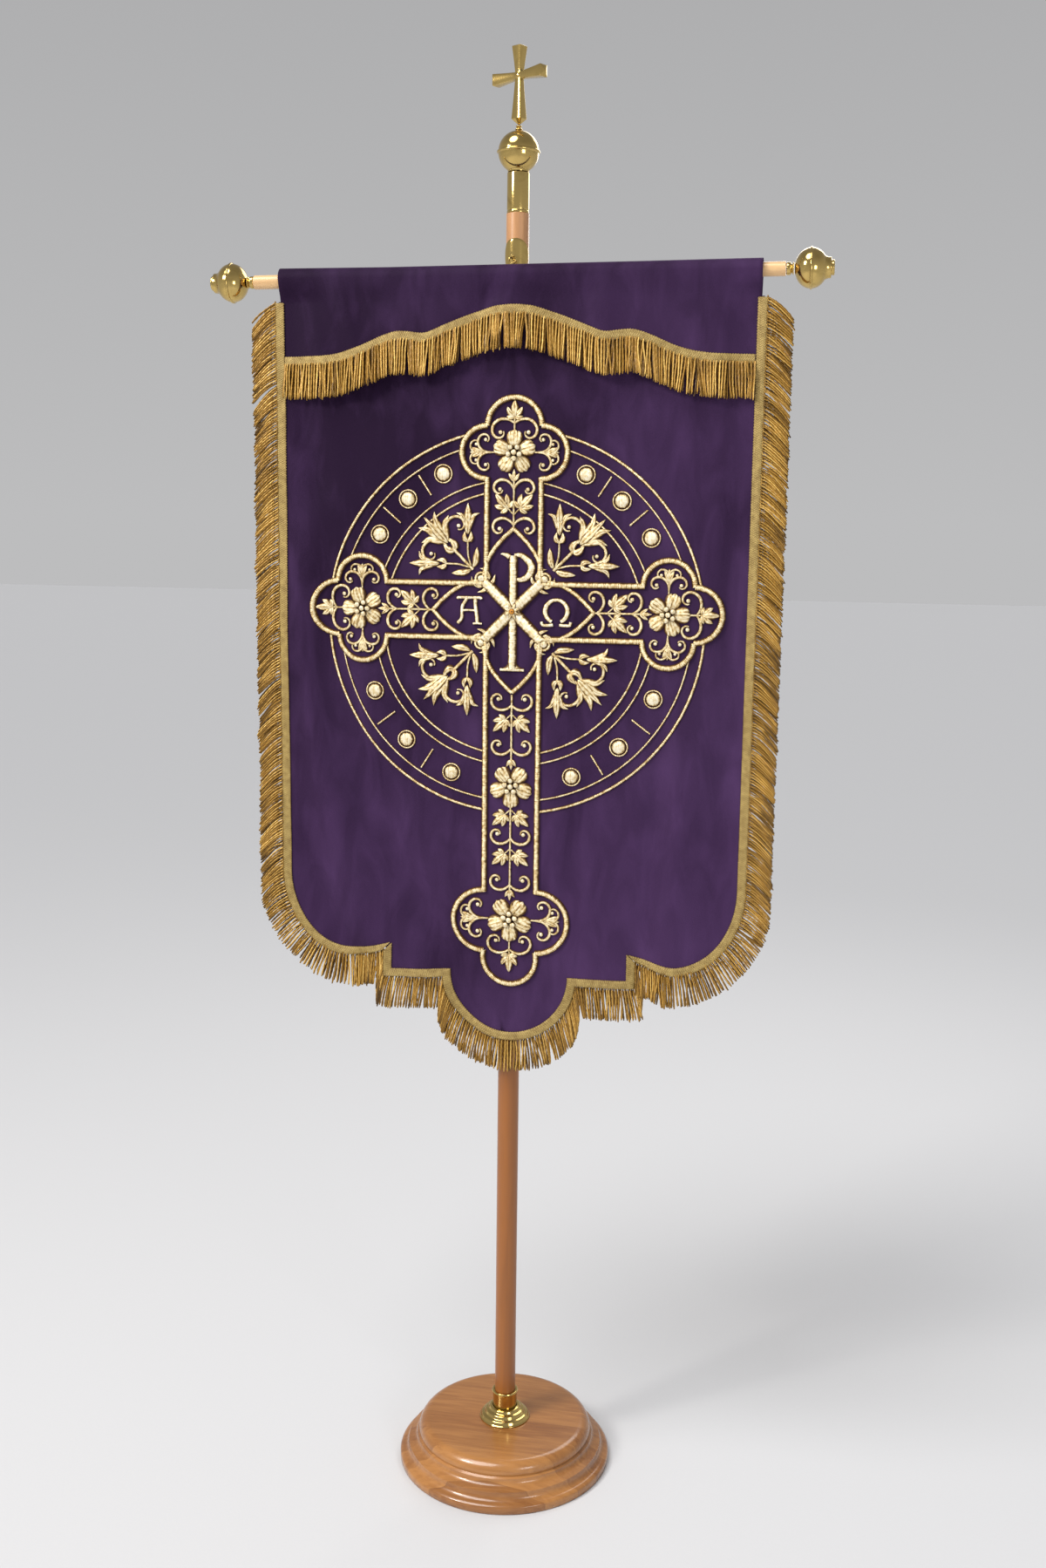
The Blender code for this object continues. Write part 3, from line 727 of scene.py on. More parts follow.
def curve(knots: Sequence[tuple[float, float]], pieces: int, mirror: tuple[int, int] = (1, 1)) -> np.ndarray:
    """A smooth line through (across, up) knots, each times mirror, as complex places."""
    line = through(np.array(knots, float) * mirror, pieces)
    return line[:, 0] + 1j * line[:, 1]


# How the cloth hangs


def ease(value: np.ndarray | float) -> np.ndarray:
    """A smooth step from 0 to 1."""
    value = np.clip(value, 0.0, 1.0)
    return value * value * (3.0 - 2.0 * value)


@dataclass(frozen=True)
class Fold:
    """A soft fold along a line from its top to its foot; a positive depth goes back."""

    top: tuple[float, float]
    foot: tuple[float, float]
    bow: float
    half_width: float
    depth: float
    to_hem: bool = True
    spread: float = 0.5
    fade: float = 0.35

    def push(self, x: np.ndarray, z: np.ndarray) -> np.ndarray:
        """How far the fold pushes the cloth back at these places.

        Args:
            x: how far across from the cloth's middle.
            z: the height.

        Returns:
            The distances back, in metres.
        """
        down = (self.top[1] - z) / (self.top[1] - self.foot[1])
        shown = ease(down / self.fade)
        if not self.to_hem:
            shown = shown * ease((1.0 - down) / self.fade)
        down = np.clip(down, 0.0, 1.0)
        middle = self.top[0] + (self.foot[0] - self.top[0]) * down + self.bow * 4 * down * (1 - down)
        width = self.half_width * (1.0 + self.spread * down)
        return self.depth * shown * np.exp(-(((x - middle) / width) ** 2))


@dataclass(frozen=True)
class Drape:
    """Where the two layers of cloth hang, as depths along Y; x is across and z is the height."""

    middle: float = 0.005
    bar_y: float = -0.040
    sleeve: float = 0.01475
    layer: float = 0.0020
    seam_depth: float = 0.035
    stands: float = 0.0105
    heights: tuple = ((-0.375, 1.9630), (-0.190, 1.9624), (0.0, 1.9638), (0.190, 1.9650), (0.385, 1.9669))
    panel_folds: tuple = (
        Fold((-0.318, 1.62), (-0.075, 0.84), -0.060, 0.030, 0.012),
        Fold((-0.342, 1.62), (-0.213, 0.88), -0.038, 0.026, -0.011),
        Fold((-0.345, 1.13), (-0.245, 0.88), -0.025, 0.018, 0.006),
        Fold((-0.210, 1.08), (-0.125, 0.84), -0.010, 0.024, -0.006),
        Fold((-0.348, 1.82), (-0.298, 1.60), 0.0, 0.018, 0.006, False),
        Fold((0.243, 1.36), (0.214, 0.84), 0.004, 0.018, 0.009),
        Fold((0.272, 1.34), (0.258, 0.86), 0.0, 0.026, -0.008),
        Fold((0.097, 1.18), (0.099, 0.90), 0.0, 0.016, 0.004, False),
        Fold((0.340, 1.78), (0.335, 0.98), 0.004, 0.017, 0.005, False),
    )
    valance_folds: tuple = (
        Fold((-0.318, 1.97), (-0.276, 1.82), 0.0, 0.014, 0.004),
        Fold((-0.286, 1.97), (-0.238, 1.82), 0.0, 0.016, -0.004),
        Fold((-0.012, 1.97), (-0.088, 1.86), 0.0, 0.016, 0.004),
        Fold((0.020, 1.97), (0.092, 1.86), 0.0, 0.016, 0.004),
        Fold((0.142, 1.97), (0.126, 1.83), 0.0, 0.018, -0.004),
        Fold((0.330, 1.97), (0.322, 1.82), 0.0, 0.016, -0.003),
    )
    ripple: float = 0.00045
    waves: tuple = ((1.0, 61.0, 9.0, 0.7), (0.8, 33.0, -21.0, 2.1), (0.6, 14.0, 47.0, 0.0))

    def sleeve_height(self, x: np.ndarray) -> np.ndarray:
        """Height of the middle of the sleeve's round top."""
        return np.interp(x, [row[0] for row in self.heights], [row[1] for row in self.heights])

    def ripples(self, x: np.ndarray, z: np.ndarray) -> np.ndarray:
        """The slight unevenness of hanging velvet."""
        wave = sum(size * np.sin(x * across + z * up + start) for size, across, up, start in self.waves)
        return self.ripple * wave * ease((1.90 - z) / 0.10)

    def panel_y(self, x: np.ndarray, z: np.ndarray) -> np.ndarray:
        """Depth of the panel's middle surface on the front of the bar and below it.

        Args:
            x: how far across.
            z: the height.

        Returns:
            The depths along Y.
        """
        x, z = np.asarray(x, float), np.asarray(z, float)
        drawn_in = ease((self.sleeve_height(x) - z) / self.seam_depth) * (self.sleeve - 0.0015)
        pushed = sum(fold.push(x - self.middle, z) for fold in self.panel_folds)
        return self.bar_y - self.sleeve + drawn_in + pushed + self.ripples(x, z)

    def valance_y(self, x: np.ndarray, z: np.ndarray) -> np.ndarray:
        """Depth of the valance: it hangs free in the middle and is caught under the side trims.

        Args:
            x: how far across.
            z: the height.

        Returns:
            The depths along Y.
        """
        x, z = np.asarray(x, float), np.asarray(z, float)
        free = ease((0.352 - np.abs(x - self.middle)) / 0.060)
        drop = ease((self.sleeve_height(x) - z) / self.seam_depth)
        own = sum(fold.push(x - self.middle, z) for fold in self.valance_folds) * free
        under = sum(fold.push(x - self.middle, z) for fold in self.panel_folds)
        return self.panel_y(x, z) - free * drop * under - self.layer - self.stands * free * drop + own


# Stand


@dataclass(kw_only=True)
class Brasswork:
    """A sub-assembly that has brass pieces."""

    brass: Finish

    def fit(self, shape: Shape, name: str, node: str, sharp: float = 60.0) -> Item:
        """Makes a shape a brass piece that stands for this CAD node."""
        return dress(shape.piece(name, sharp, WELD), self.brass, [node])


@dataclass
class Stand(Brasswork):
    """The turned base, its brass socket, the pole, the ferrule and the globe on top, and the small foot under
    the cross.
    """

    base_radius: float = 0.180
    base_height: float = 0.068
    top_radius: float = 0.130
    pole_radius: float = 0.0175
    pole_top: float = 2.117
    shoulder: float = 2.0606
    ferrule_radius: float = 0.0169
    ferrule_top: float = 2.1205
    globe_radius: float = 0.031
    globe_height: float = 2.150
    globe_foot: float = 2.1210
    shell: float = 0.002
    collar_foot: float = 2.1815
    collar_top: float = 2.1878
    gap: float = 0.0004
    wood: Finish = None
    pole_wood: Finish = None

    def build(self) -> None:
        """Makes every piece of the stand."""
        self.make_base()
        self.make_socket()
        self.make_pole()
        self.make_ferrule()
        self.make_globe()
        self.make_collar()

    def make_base(self) -> None:
        """The stepped wooden base with its bore."""
        high = self.base_height
        upper = [
            (0.0, 0.012), (0.0180, 0.012), (0.0180, high),
            *arc((self.top_radius, high - 0.018), (0.018, 0.018), 90, 0, 14)
        ]
        upper += [(0.1465, 0.0465), (0.1500, 0.0440), *arc((0.1600, 0.0440), (0.0100, 0.0110), 180, 250, 9)]
        upper += [(0.1650, 0.0300), (0.1655, 0.0265), *arc((0.1765, 0.0265), (0.0110, 0.0115), 190, 260, 9)]
        upper += [
            (0.1785, 0.0130), (self.base_radius, 0.0110), (self.base_radius, 0.0006),
            (self.base_radius - 0.0006, 0.0), (0.0, 0.0)
        ]
        dress(lathe(upper, 160).piece("turned_base", 50, WELD), self.wood, ["base"])

    def make_socket(self) -> None:
        """The brass rosette on the base and the tube that holds the pole."""
        foot = self.base_height + self.gap
        rosette = [(0.0213, 0.0890), (0.0255, 0.0885), (0.0275, 0.0840), (0.0325, 0.0825), (0.0345, 0.0775)]
        rosette += [(0.0390, 0.0760), (0.0415, 0.0710), (0.0430, 0.0700), (0.0430, foot), (0.0213, foot)]
        self.fit(lathe(rounded(rosette, 0.0012, 4), 112, True), "rosette", "socket_rosette")
        bore = self.pole_radius + 0.0007
        tube = [
            (bore, 0.118), (0.0215, 0.118), (0.0225, 0.1160), (0.0220, 0.1135), (0.0205, 0.1130),
            (0.0205, foot), (bore, foot)
        ]
        self.fit(lathe(rounded(tube, 0.0006), 96, True), "tube", "socket_tube")

    def make_pole(self) -> None:
        """The wooden pole, narrower where the ferrule is pushed on."""
        spigot = 0.0135
        profile = [
            (0.0, self.pole_top), (spigot, self.pole_top), (spigot, self.shoulder),
            (self.pole_radius - 0.0008, self.shoulder)
        ]
        profile += [(self.pole_radius, self.shoulder - 0.0008), (self.pole_radius, 0.0125), (0.0, 0.0125)]
        dress(lathe(profile, 72).piece("beech_pole", 40, WELD), self.pole_wood, ["pole"])

    def make_ferrule(self) -> None:
        """The brass sleeve between the pole and the globe, with a beaded rim."""
        radius, foot = self.ferrule_radius, self.shoulder + self.gap
        profile = [
            (0.0, self.ferrule_top), (radius - 0.0016, self.ferrule_top), (radius, self.ferrule_top - 0.0012)
        ]
        profile += [
            (radius, 2.0662), (radius - 0.0005, 2.0655), (radius - 0.0005, 2.0648), (radius, 2.0640),
            (radius, foot)
        ]
        profile += [(0.0139, foot), (0.0139, self.pole_top + self.gap), (0.0, self.pole_top + self.gap)]
        self.fit(lathe(rounded(profile, 0.0004), 96), "brass_ferrule", "ferrule")

    def make_globe(self) -> None:
        """The hollow ball with its seam ridge."""
        middle, radius = (0.0, self.globe_height), self.globe_radius
        ridge, inside = radius + 0.002, radius - self.shell
        profile = arc(middle, (radius, radius), 90, 4.4, 22)
        profile += [(ridge - 0.0006, self.globe_height + 0.0015), (ridge, self.globe_height + 0.0006)]
        profile += [(ridge, self.globe_height - 0.0006), (ridge - 0.0006, self.globe_height - 0.0015)]
        profile += arc(middle, (radius, radius), -4.4, -58, 16)
        profile += [
            (0.0160, self.globe_foot), (0.0080, self.globe_foot), *arc(middle, (inside, inside), -74, 90, 20)
        ]
        self.fit(lathe(profile, 112), "brass_globe", "globe", 50)

    def make_collar(self) -> None:
        """The small turned foot under the cross."""
        top, foot = self.collar_top, self.collar_foot
        profile = [
            (0.0, top), (0.0042, top), (0.0050, top - 0.0012), (0.0030, top - 0.0030), (0.0058, foot + 0.0010)
        ]
        profile += [(0.0058, foot), (0.0, foot)]
        shape = lathe(rounded(profile, 0.0007), 48)
        self.fit(shape, "cross_foot", "cross_collar")


@dataclass
class Finial(Brasswork):
    """The brass cross: four square arms that widen outward, bevelled, with a ribbed boss on each face."""

    height: float = 2.259
    turn: float = -30.0
    root: float = 0.0050
    end: float = 0.0085
    bevel: float = 0.0011
    seat: float = 2.1878
    gap: float = 0.0004

    def section(self, half: float) -> np.ndarray:
        """Corner points of the bevelled square section, as pairs of sideways distances.

        Args:
            half: half the width of the square.

        Returns:
            The pairs, in order round the section.
        """
        cut = min(self.bevel, half * 0.3)
        steps = []
        for turn in range(4):
            spin = np.exp(1j * math.pi / 2 * turn)
            for share in (0.0, 0.5, 1.0):
                corner = (half - cut) + 1j * (half - cut) + cut * np.exp(1j * math.pi / 2 * share)
                steps.append(corner * spin)
        return np.array([(value.real, value.imag) for value in steps])

    def arm(self, shape: Shape, outward: Vector, length: float, tip: float, across: Vector) -> None:
        """Adds one arm, from inside the middle block to a low pyramid at its end.

        Args:
            shape: the shape it is added to.
            outward: the direction it points in.
            length: the distance from the cross's middle to its end.
            tip: the length of the pyramid.
            across: the direction of one pair of its sides.
        """
        side = outward.cross(across)
        reach = length - tip
        grown = reach - self.root, self.end - self.root
        stations = [(0.0, self.root)]
        stations += [(self.root + grown[0] * s, self.root + grown[1] * s**1.15) for s in np.linspace(0, 1, 9)]
        stations += [(reach + 0.0004, self.end - 0.0005), (length - tip * 0.1, self.end * 0.12)]
        rings = []
        for place, half in stations:
            for one, two in self.section(half):
                rings.append(outward * place + across * one + side * two)
        shape.add(np.array(rings), tube_faces(len(stations), len(rings) // len(stations)))

    def boss(self, shape: Shape, toward: int) -> None:
        """Adds the ribbed boss on the front or the back.

        Args:
            shape: the shape it is added to.
            toward: 1 for the front, -1 for the back.
        """
        rings, lobes = 8, 32
        angles = np.arange(lobes) * math.tau / lobes
        points = []
        for k in range(rings + 1):
            rise = math.radians(90.0 * k / rings)
            radius = 0.0052 * math.cos(rise) * (1.0 + 0.07 * np.cos(angles * 8) * math.cos(rise))
            depth = self.root - 0.0003 + 0.0022 * math.sin(rise)
            points.append(
                np.stack(
                    [radius * np.cos(angles), np.full(lobes, -toward * depth), radius * np.sin(angles)], -1
                )
            )
        faces = grid_faces(rings + 1, lobes, round_columns=True) + [tuple(range(lobes))]
        shape.add(np.array(points), faces)

    def build(self) -> None:
        """Makes the cross as one piece."""
        shape = Shape()
        up, right = Vector((0, 0, 1)), Vector((1, 0, 0))
        foot = self.height - self.seat - self.gap
        self.arm(shape, up, 0.0445, 0.003, right)
        self.arm(shape, right, 0.050, 0.003, up)
        self.arm(shape, -right, 0.050, 0.003, up)
        self.arm(shape, -up, foot, 0.009, right)
        for toward in (1, -1):
            self.boss(shape, toward)
        item = shape.piece("altar_cross", 35, WELD)
        item.data.transform(
            Matrix.Translation((0, 0, self.height)) @ Matrix.Rotation(math.radians(self.turn), 4, "Z")
        )
        dress(item, self.brass, ["cross"])


@dataclass
class Crossbar(Brasswork):
    """The wooden bar with its brass ends, and the plate, hook and eye that hang it on the pole."""

    radius: float = 0.0105
    half: float = 0.408
    y: float = -0.040
    height: float = 1.964
    tilt: float = math.radians(0.56)
    knob_radius: float = 0.029
    knob_half: float = 0.0245
    knob_out: float = 0.4445
    pole_radius: float = 0.0175
    plate_height: float = 1.9985
    plate_half: float = 0.024
    plate_thick: float = 0.0015
    plate_wrap: float = math.radians(74.0)
    eye_radius: float = 0.0050
    eye_height: float = 1.9875
    hook_height: float = 1.9892
    gap: float = 0.0004
    wood: Finish = None

    def laid(self, item: Item, x: float, turn: int) -> Item:
        """Lays a turned piece along the bar, its own +Z pointing outward on the side that turn gives.

        Args:
            item: the piece.
            x: how far along the bar its origin lies.
            turn: 1 on the right, -1 on the left.

        Returns:
            The same piece.
        """
        place = Matrix.Translation((x, self.y, self.height + x * math.tan(self.tilt)))
        item.data.transform(place @ Matrix.Rotation(math.radians(90.0) * turn - self.tilt, 4, "Y"))
        return item

    def build(self) -> None:
        """Makes the bar, both ends and the fastening."""
        reach = self.half / math.cos(self.tilt)
        bar = [(0.0, reach), (self.radius - 0.0006, reach), (self.radius, reach - 0.0006), (self.radius, 0.0)]
        bar += [(self.radius, -reach + 0.0006), (self.radius - 0.0006, -reach), (0.0, -reach)]
        item = self.laid(lathe(bar, 64).piece("beech_bar", 40, WELD), 0.0, 1)
        dress(item, self.wood, ["crossbar"])
        for side, turn in (("left", -1), ("right", 1)):
            self.make_end(side, turn)
        self.make_plate()
        self.make_hook()

    def make_end(self, side: str, turn: int) -> None:
        """A grooved collar and a hollow knob with a seam ridge and stepped rings on its outer end.

        Args:
            side: left or right, for the names.
            turn: 1 on the right, -1 on the left.
        """
        length = self.knob_out - self.knob_half - self.half - 2 * self.gap
        collar = [(0.0, length), (0.0085, length), (0.0090, length - 0.0016), (0.0058, length - 0.0032)]
        collar += [(0.0093, length - 0.0052), (0.0093, 0.0008), (0.0078, 0.0), (0.0, 0.0)]
        item = lathe(rounded(collar, 0.0007), 64).piece("bar_end_" + side, 60, WELD)
        dress(
            self.laid(item, turn * (self.half + self.gap), turn), self.brass, ["bar_collar_" + side]
        )
        radius, half = self.knob_radius, self.knob_half
        ridge = radius + 0.0015
        knob = rounded(
            [
                (0.0, 0.0335), (0.0098, 0.0335), (0.0112, 0.0322), (0.0108, 0.0290), (0.0150, 0.0284),
                (0.0152, 0.0240)
            ],
            0.0006
        )
        knob += arc((0.0, 0.0), (radius, half), 54, 4.6, 14)
        knob += [(ridge - 0.0005, 0.0014), (ridge, 0.0006), (ridge, -0.0006), (ridge - 0.0005, -0.0014)]
        knob += arc((0.0, 0.0), (radius, half), -4.6, -76, 18)
        knob += arc((0.0, 0.0), (radius - 0.002, half - 0.002), -76, 90, 14)
        item = lathe(knob, 96).piece("ball_knob_" + side, 50, WELD)
        dress(self.laid(item, turn * self.knob_out, turn), self.brass, ["knob_" + side])

    def make_plate(self) -> None:
        """The oval brass shell wrapped round the front of the pole, a little domed."""
        base = self.pole_radius + self.gap
        rows, spokes = 14, 72
        angles = np.arange(spokes) * math.tau / spokes
        points = []
        for layer in (1, 0):
            shares = np.linspace(1.0, 0.0, rows + 1) if layer == 0 else np.linspace(0.0, 1.0, rows + 1)
            for share in shares:
                thick = self.plate_thick * (1.0 - max(share - 0.92, 0.0) * 5.0) if layer else 0.0
                out = base + thick
                turn = share * np.cos(angles) * self.plate_wrap
                rise = share * np.sin(angles) * self.plate_half
                points.append(
                    np.stack([out * np.sin(turn), -out * np.cos(turn), self.plate_height + rise], -1)
                )
        shape = Shape()
        shape.add(np.array(points), grid_faces(len(points), spokes, round_columns=True))
        self.fit(shape, "pole_plate", "bar_plate", 50)

    def make_hook(self) -> None:
        """The hook on the plate and the screw eye in the top of the bar."""
        start, turn_y = -(self.pole_radius + 2 * self.gap + self.plate_thick), self.y - 0.0040
        path = [
            (0.0, start, self.hook_height), (0.0, (start + turn_y) / 2, self.hook_height),
            (0.0, turn_y, self.hook_height)
        ]
        for angle in (-60, -30, 0):
            turn = math.radians(angle)
            path.append(
                (0.0, turn_y - 0.0045 * math.cos(turn), self.hook_height + 0.0045 * (1 + math.sin(turn)))
            )
        path.append((0.0, turn_y - 0.0045, self.hook_height + 0.0085))
        self.fit(sweep(path, 0.0015), "brass_hook", "bar_hook")
        foot, radius = self.height + self.radius - 0.0060, self.eye_radius
        path = [(0.0, self.y, foot), (0.0, self.y, self.eye_height - radius - 0.0022)]
        for angle in range(-90, 211, 25):
            turn = math.radians(angle)
            path.append((radius * math.cos(turn), self.y, self.eye_height + radius * math.sin(turn)))
        self.fit(sweep(path, 0.00125), "screw_eye", "bar_eye")


# Cloth


class Stretch(Enum):
    """The stretches of the panel's edge, from the side to the middle, with their pieces in the fine mesh."""

    SIDE = 0
    CORNER = 18
    SLOPE = 11
    NOTCH = 6
    STEP = 14
    LOBE = 26


@dataclass(frozen=True)
class Hem:
    """The panel's lower outline, and where its fringe reaches; half widths are measured from the middle."""

    middle: float = 0.005
    half_width: float = 0.365
    heading: float = 0.013
    cord: float = 0.052
    hem: float = 0.009
    side_reach: float = 0.040
    side_droop: float = 0.034
    top: float = 1.928
    lobe_radius: float = 0.098
    step_height: float = 0.873
    notch_out: float = 0.193
    notch_top: float = 0.917
    corner_low: float = 0.902
    corner_start: float = 0.265
    corner_wide: float = 0.100
    corner_tall: float = 0.128
    corner_height: float = 1.030

    def point(self, part: Stretch, share: float, reach: float) -> tuple[float, float]:
        """A place on the right half of the edge.

        Args:
            part: the stretch of the edge.
            share: how far along the stretch, from the side towards the middle.
            reach: how far outward of the cloth's shown edge.

        Returns:
            The distance across from the middle, and the height.
        """
        past, within = max(reach - self.heading, 0.0) / self.cord, min(reach, self.heading)
        if part is Stretch.SIDE:
            height = self.top + (self.corner_height - self.top) * share
            return self.half_width + within + self.side_reach * past, height - self.side_droop * past**1.4
        if part is Stretch.CORNER:
            angle = math.radians(90.0 * share)
            sideways = math.cos(angle) ** 2
            wide = self.corner_wide + within + (
                self.side_reach * sideways + self.cord * (1 - sideways)
            ) * past
            tall = self.corner_tall + within * sideways + reach * (1 - sideways)
            height = self.corner_height - tall * math.sin(angle) - self.side_droop * sideways * past**1.4
            return self.corner_start + wide * math.cos(angle), height
        if part is Stretch.SLOPE:
            away = self.corner_start + (self.notch_out + reach - self.corner_start) * share
            return away, self.corner_low - reach + (self.notch_top - self.corner_low) * share**1.3
        if part is Stretch.NOTCH:
            height = self.notch_top + (self.step_height - self.notch_top) * share
            return self.notch_out + reach, height - reach
        if part is Stretch.STEP:
            joint = math.sqrt((self.lobe_radius + reach) ** 2 - reach * reach)
            away = self.notch_out + reach
            return away + (joint - away) * share, self.step_height - reach
        radius = self.lobe_radius + reach
        start = math.asin(reach / radius)
        angle = start + (math.pi / 2 - start) * share
        return radius * math.cos(angle), self.step_height - radius * math.sin(angle)

    def line(
        self, parts: Sequence[Stretch], reach: float, spacing: float, last: float = 1.0
    ) -> list[tuple[Stretch, float]]:
        """Stations spaced evenly along these stretches at this reach.

        Args:
            parts: the stretches, in order.
            reach: how far outward of the cloth's shown edge the spacing is measured.
            spacing: the distance between stations.
            last: the share of the last stretch at which the line ends.

        Returns:
            The stations as (stretch, share) pairs.
        """
        fine = [(part, share) for part in parts for share in np.linspace(0.0, 1.0, 241)]
        fine = [(part, share) for part, share in fine if part is not parts[-1] or share <= last]
        places = np.array([self.point(*station, reach) for station in fine])
        length = np.concatenate([[0.0], np.cumsum(np.linalg.norm(np.diff(places, axis=0), axis=1))])
        count = max(int(length[-1] / spacing), 2)
        wanted = np.linspace(0.0, length[-1], count + 1)
        return [fine[i] for i in np.unique(np.searchsorted(length, wanted).clip(0, len(fine) - 1))]


@dataclass
class Cloth:
    """The two layers of velvet: the panel and the short valance over its top."""

    drape: Drape
    hem: Hem
    velvet: Finish
    thick: float = 0.0012
    under_bar: float = 1.946
    seam_height: float = 1.930
    back_hem: float = 1.932
    eye_hole: float = 0.005
    rows: int = 120
    hem_rows: int = 4
    valance_columns: int = 124
    valance_rows: int = 22
    valance_half: float = 0.370
    panel_cut: tuple[float, float] = (0.748, 1.262)
    valance_cut: tuple[float, float] = (0.740, 0.215)
    edge: tuple = (
        # half_across, height
        (0.000, 1.9210), (0.030, 1.9185), (0.072, 1.9050), (0.108, 1.8910), (0.138, 1.8785), (0.158, 1.8815),
        (0.182, 1.8835), (0.207, 1.8755), (0.245, 1.8585), (0.272, 1.8510), (0.300, 1.8470), (0.385, 1.8460),
    )
    turns: tuple = (90, 74, 58, 44, 30, 16, -16, -30, -44, -58, -74, -90)

    def sleeve(self, x: float, radius: float) -> list[Point]:
        """Points from the back hem over the bar to its front, for one column.

        Args:
            x: how far across.
            radius: the distance of this layer from the bar's middle.

        Returns:
            The points, from back to front.
        """
        middle = float(self.drape.sleeve_height(x))
        rows = []
        for height in np.linspace(self.back_hem, self.back_hem + 0.016, self.hem_rows):
            drawn_in = ease((middle - height) / self.drape.seam_depth) * (self.drape.sleeve - 0.0012)
            rows.append(
                (x, self.drape.bar_y + radius + 0.3 * (radius - self.drape.sleeve) - drawn_in, height)
            )
        for degrees in self.turns:
            angle = math.radians(degrees)
            rows.append((x, self.drape.bar_y + radius * math.sin(angle), middle + radius * math.cos(angle)))
        return rows

    def valance_low(self, x: np.ndarray) -> np.ndarray:
        """Height of the valance's shown front edge, smoothed between its table's rows.

        Args:
            x: how far across.

        Returns:
            The heights.
        """
        away = np.abs(np.asarray(x, float) - self.drape.middle)
        table = np.array(self.edge)
        spread = np.array([-0.008, -0.004, 0.0, 0.004, 0.008])
        return np.mean([np.interp(np.abs(away + s), table[:, 0], table[:, 1]) for s in spread], axis=0)

    def sheet(
        self, name: str, columns: Sequence[float], grid: Sequence[list[Point]], strip: Shape | None = None
    ) -> Item:
        """One layer of cloth made from its columns of points, with its hole for the screw eye.

        Args:
            name: the object's name.
            columns: how far across each column is.
            grid: the points of each column, from the back hem down to the front's edge.
            strip: a further strip joined to its edge, or None.

        Returns:
            The cloth with its thickness.
        """
        points, faces, starts = [], [], []
        hole_row = self.hem_rows + self.turns.index(16)
        for rows in grid:
            starts.append(len(points))
            points += rows
        for i in range(len(columns) - 1):
            count = min(len(grid[i]), len(grid[i + 1]))
            hole = abs(columns[i] + self.eye_hole) < WELD
            for j in range(count - 1):
                if not (hole and j == hole_row):
                    first, second = starts[i], starts[i + 1]
                    faces.append((first + j, second + j, second + j + 1, first + j + 1))
        shape = Shape()
        shape.add(np.array(points), faces)
        if strip is not None:
            shape.add(np.concatenate(strip.points), strip.faces)
        item = shape.piece(name, 70, WELD)
        shell = item.modifiers.new("thickness", "SOLIDIFY")
        shell.thickness, shell.offset, shell.use_even_offset = self.thick, 0.0, True
        return item

    def panel_column(self, x: float, shoulder: float, low: float) -> list[Point]:
        """The panel's points at one column, from its back hem over the bar, down its front to its edge.

        Args:
            x: how far across.
            shoulder: the height down to which every column has the same rows.
            low: the height of the edge.

        Returns:
            The points, from back to front.
        """
        heights = [self.under_bar, (self.under_bar + self.seam_height) / 2]
        heights += list(np.linspace(self.seam_height, shoulder, self.rows + 1))
        if low < shoulder:
            heights += list(np.linspace(shoulder, low, Stretch.NOTCH.value + 1)[1:])
        heights = np.array(heights)
        depths = self.drape.panel_y(np.full(len(heights), x), heights)
        return self.sleeve(x, self.drape.sleeve) + [
            (x, *row) for row in zip(depths.tolist(), heights.tolist())
        ]

    def build_panel(self) -> Item:
        """The panel, cut to its outline with a narrow hem under the fringe's heading."""
        outer = [
            (part, i / part.value) for part in (Stretch.CORNER, Stretch.SLOPE) for i in range(part.value)
        ]
        inner = [(part, i / part.value) for part in (Stretch.STEP, Stretch.LOBE) for i in range(part.value)]
        half = [(away, height, height) for away, height in (self.hem.point(*s, 0.0) for s in outer)]
        half += [
            (away, self.hem.notch_top, height) for away, height in (self.hem.point(*s, 0.0) for s in inner)
        ]
        low = self.hem.point(Stretch.LOBE, 1.0, 0.0)[1]
        middle = self.drape.middle
        columns = [
            (middle - away, top, foot) for away, top, foot in half if middle - away < -1.2 * self.eye_hole
        ]
        aways, _, feet = zip(*half[::-1])
        beside = float(np.interp(middle + self.eye_hole, aways, feet))
        columns += [(-self.eye_hole, self.hem.notch_top, beside), (self.eye_hole, self.hem.notch_top, low)]
        columns += [
            (middle + away, top, foot) for away, top,
            foot in half[::-1] if middle + away > 1.2 * self.eye_hole
        ]
        grid = [self.panel_column(*column) for column in columns]
        item = self.sheet("velvet_panel", [c[0] for c in columns], grid, self.hem_strip(grid))
        return dress(item, self.velvet, ["panel"])

    def hem_strip(self, grid: Sequence[list[Point]]) -> Shape:
        """The narrow strip of velvet outside the shown edge, down each side and round the bottom.

        Args:
            grid: the panel's columns of points.

        Returns:
            The strip, left and right.
        """
        strip = Shape()
        parts = (Stretch.CORNER, Stretch.SLOPE, Stretch.NOTCH, Stretch.STEP, Stretch.LOBE)
        stations = [
            (part, i / part.value) for part in parts for i in range(part.value)
        ] + [(Stretch.LOBE, 1.0)]
        for side in (1, -1):
            seam = self.hem_rows + len(self.turns) + 2
            column = grid[-1] if side > 0 else grid[0]
            inside = [(point[0], point[2]) for point in column[seam : seam + self.rows]]
            outside = [(x + side * self.hem.hem, z) for x, z in inside]
            for station in stations:
                inside.append(self.place(side, *self.hem.point(*station, 0.0)))
                outside.append(self.place(side, *self.hem.point(*station, self.hem.hem)))
            rails = np.array([inside, outside])
            depth = self.drape.panel_y(rails[..., 0], rails[..., 1])
            strip.add(np.stack([rails[..., 0], depth, rails[..., 1]], -1), grid_faces(2, len(inside)))
        return strip

    def place(self, side: int, away: float, height: float) -> tuple[float, float]:
        """The x and height of a place on the right or left half."""
        return self.drape.middle + side * away, height

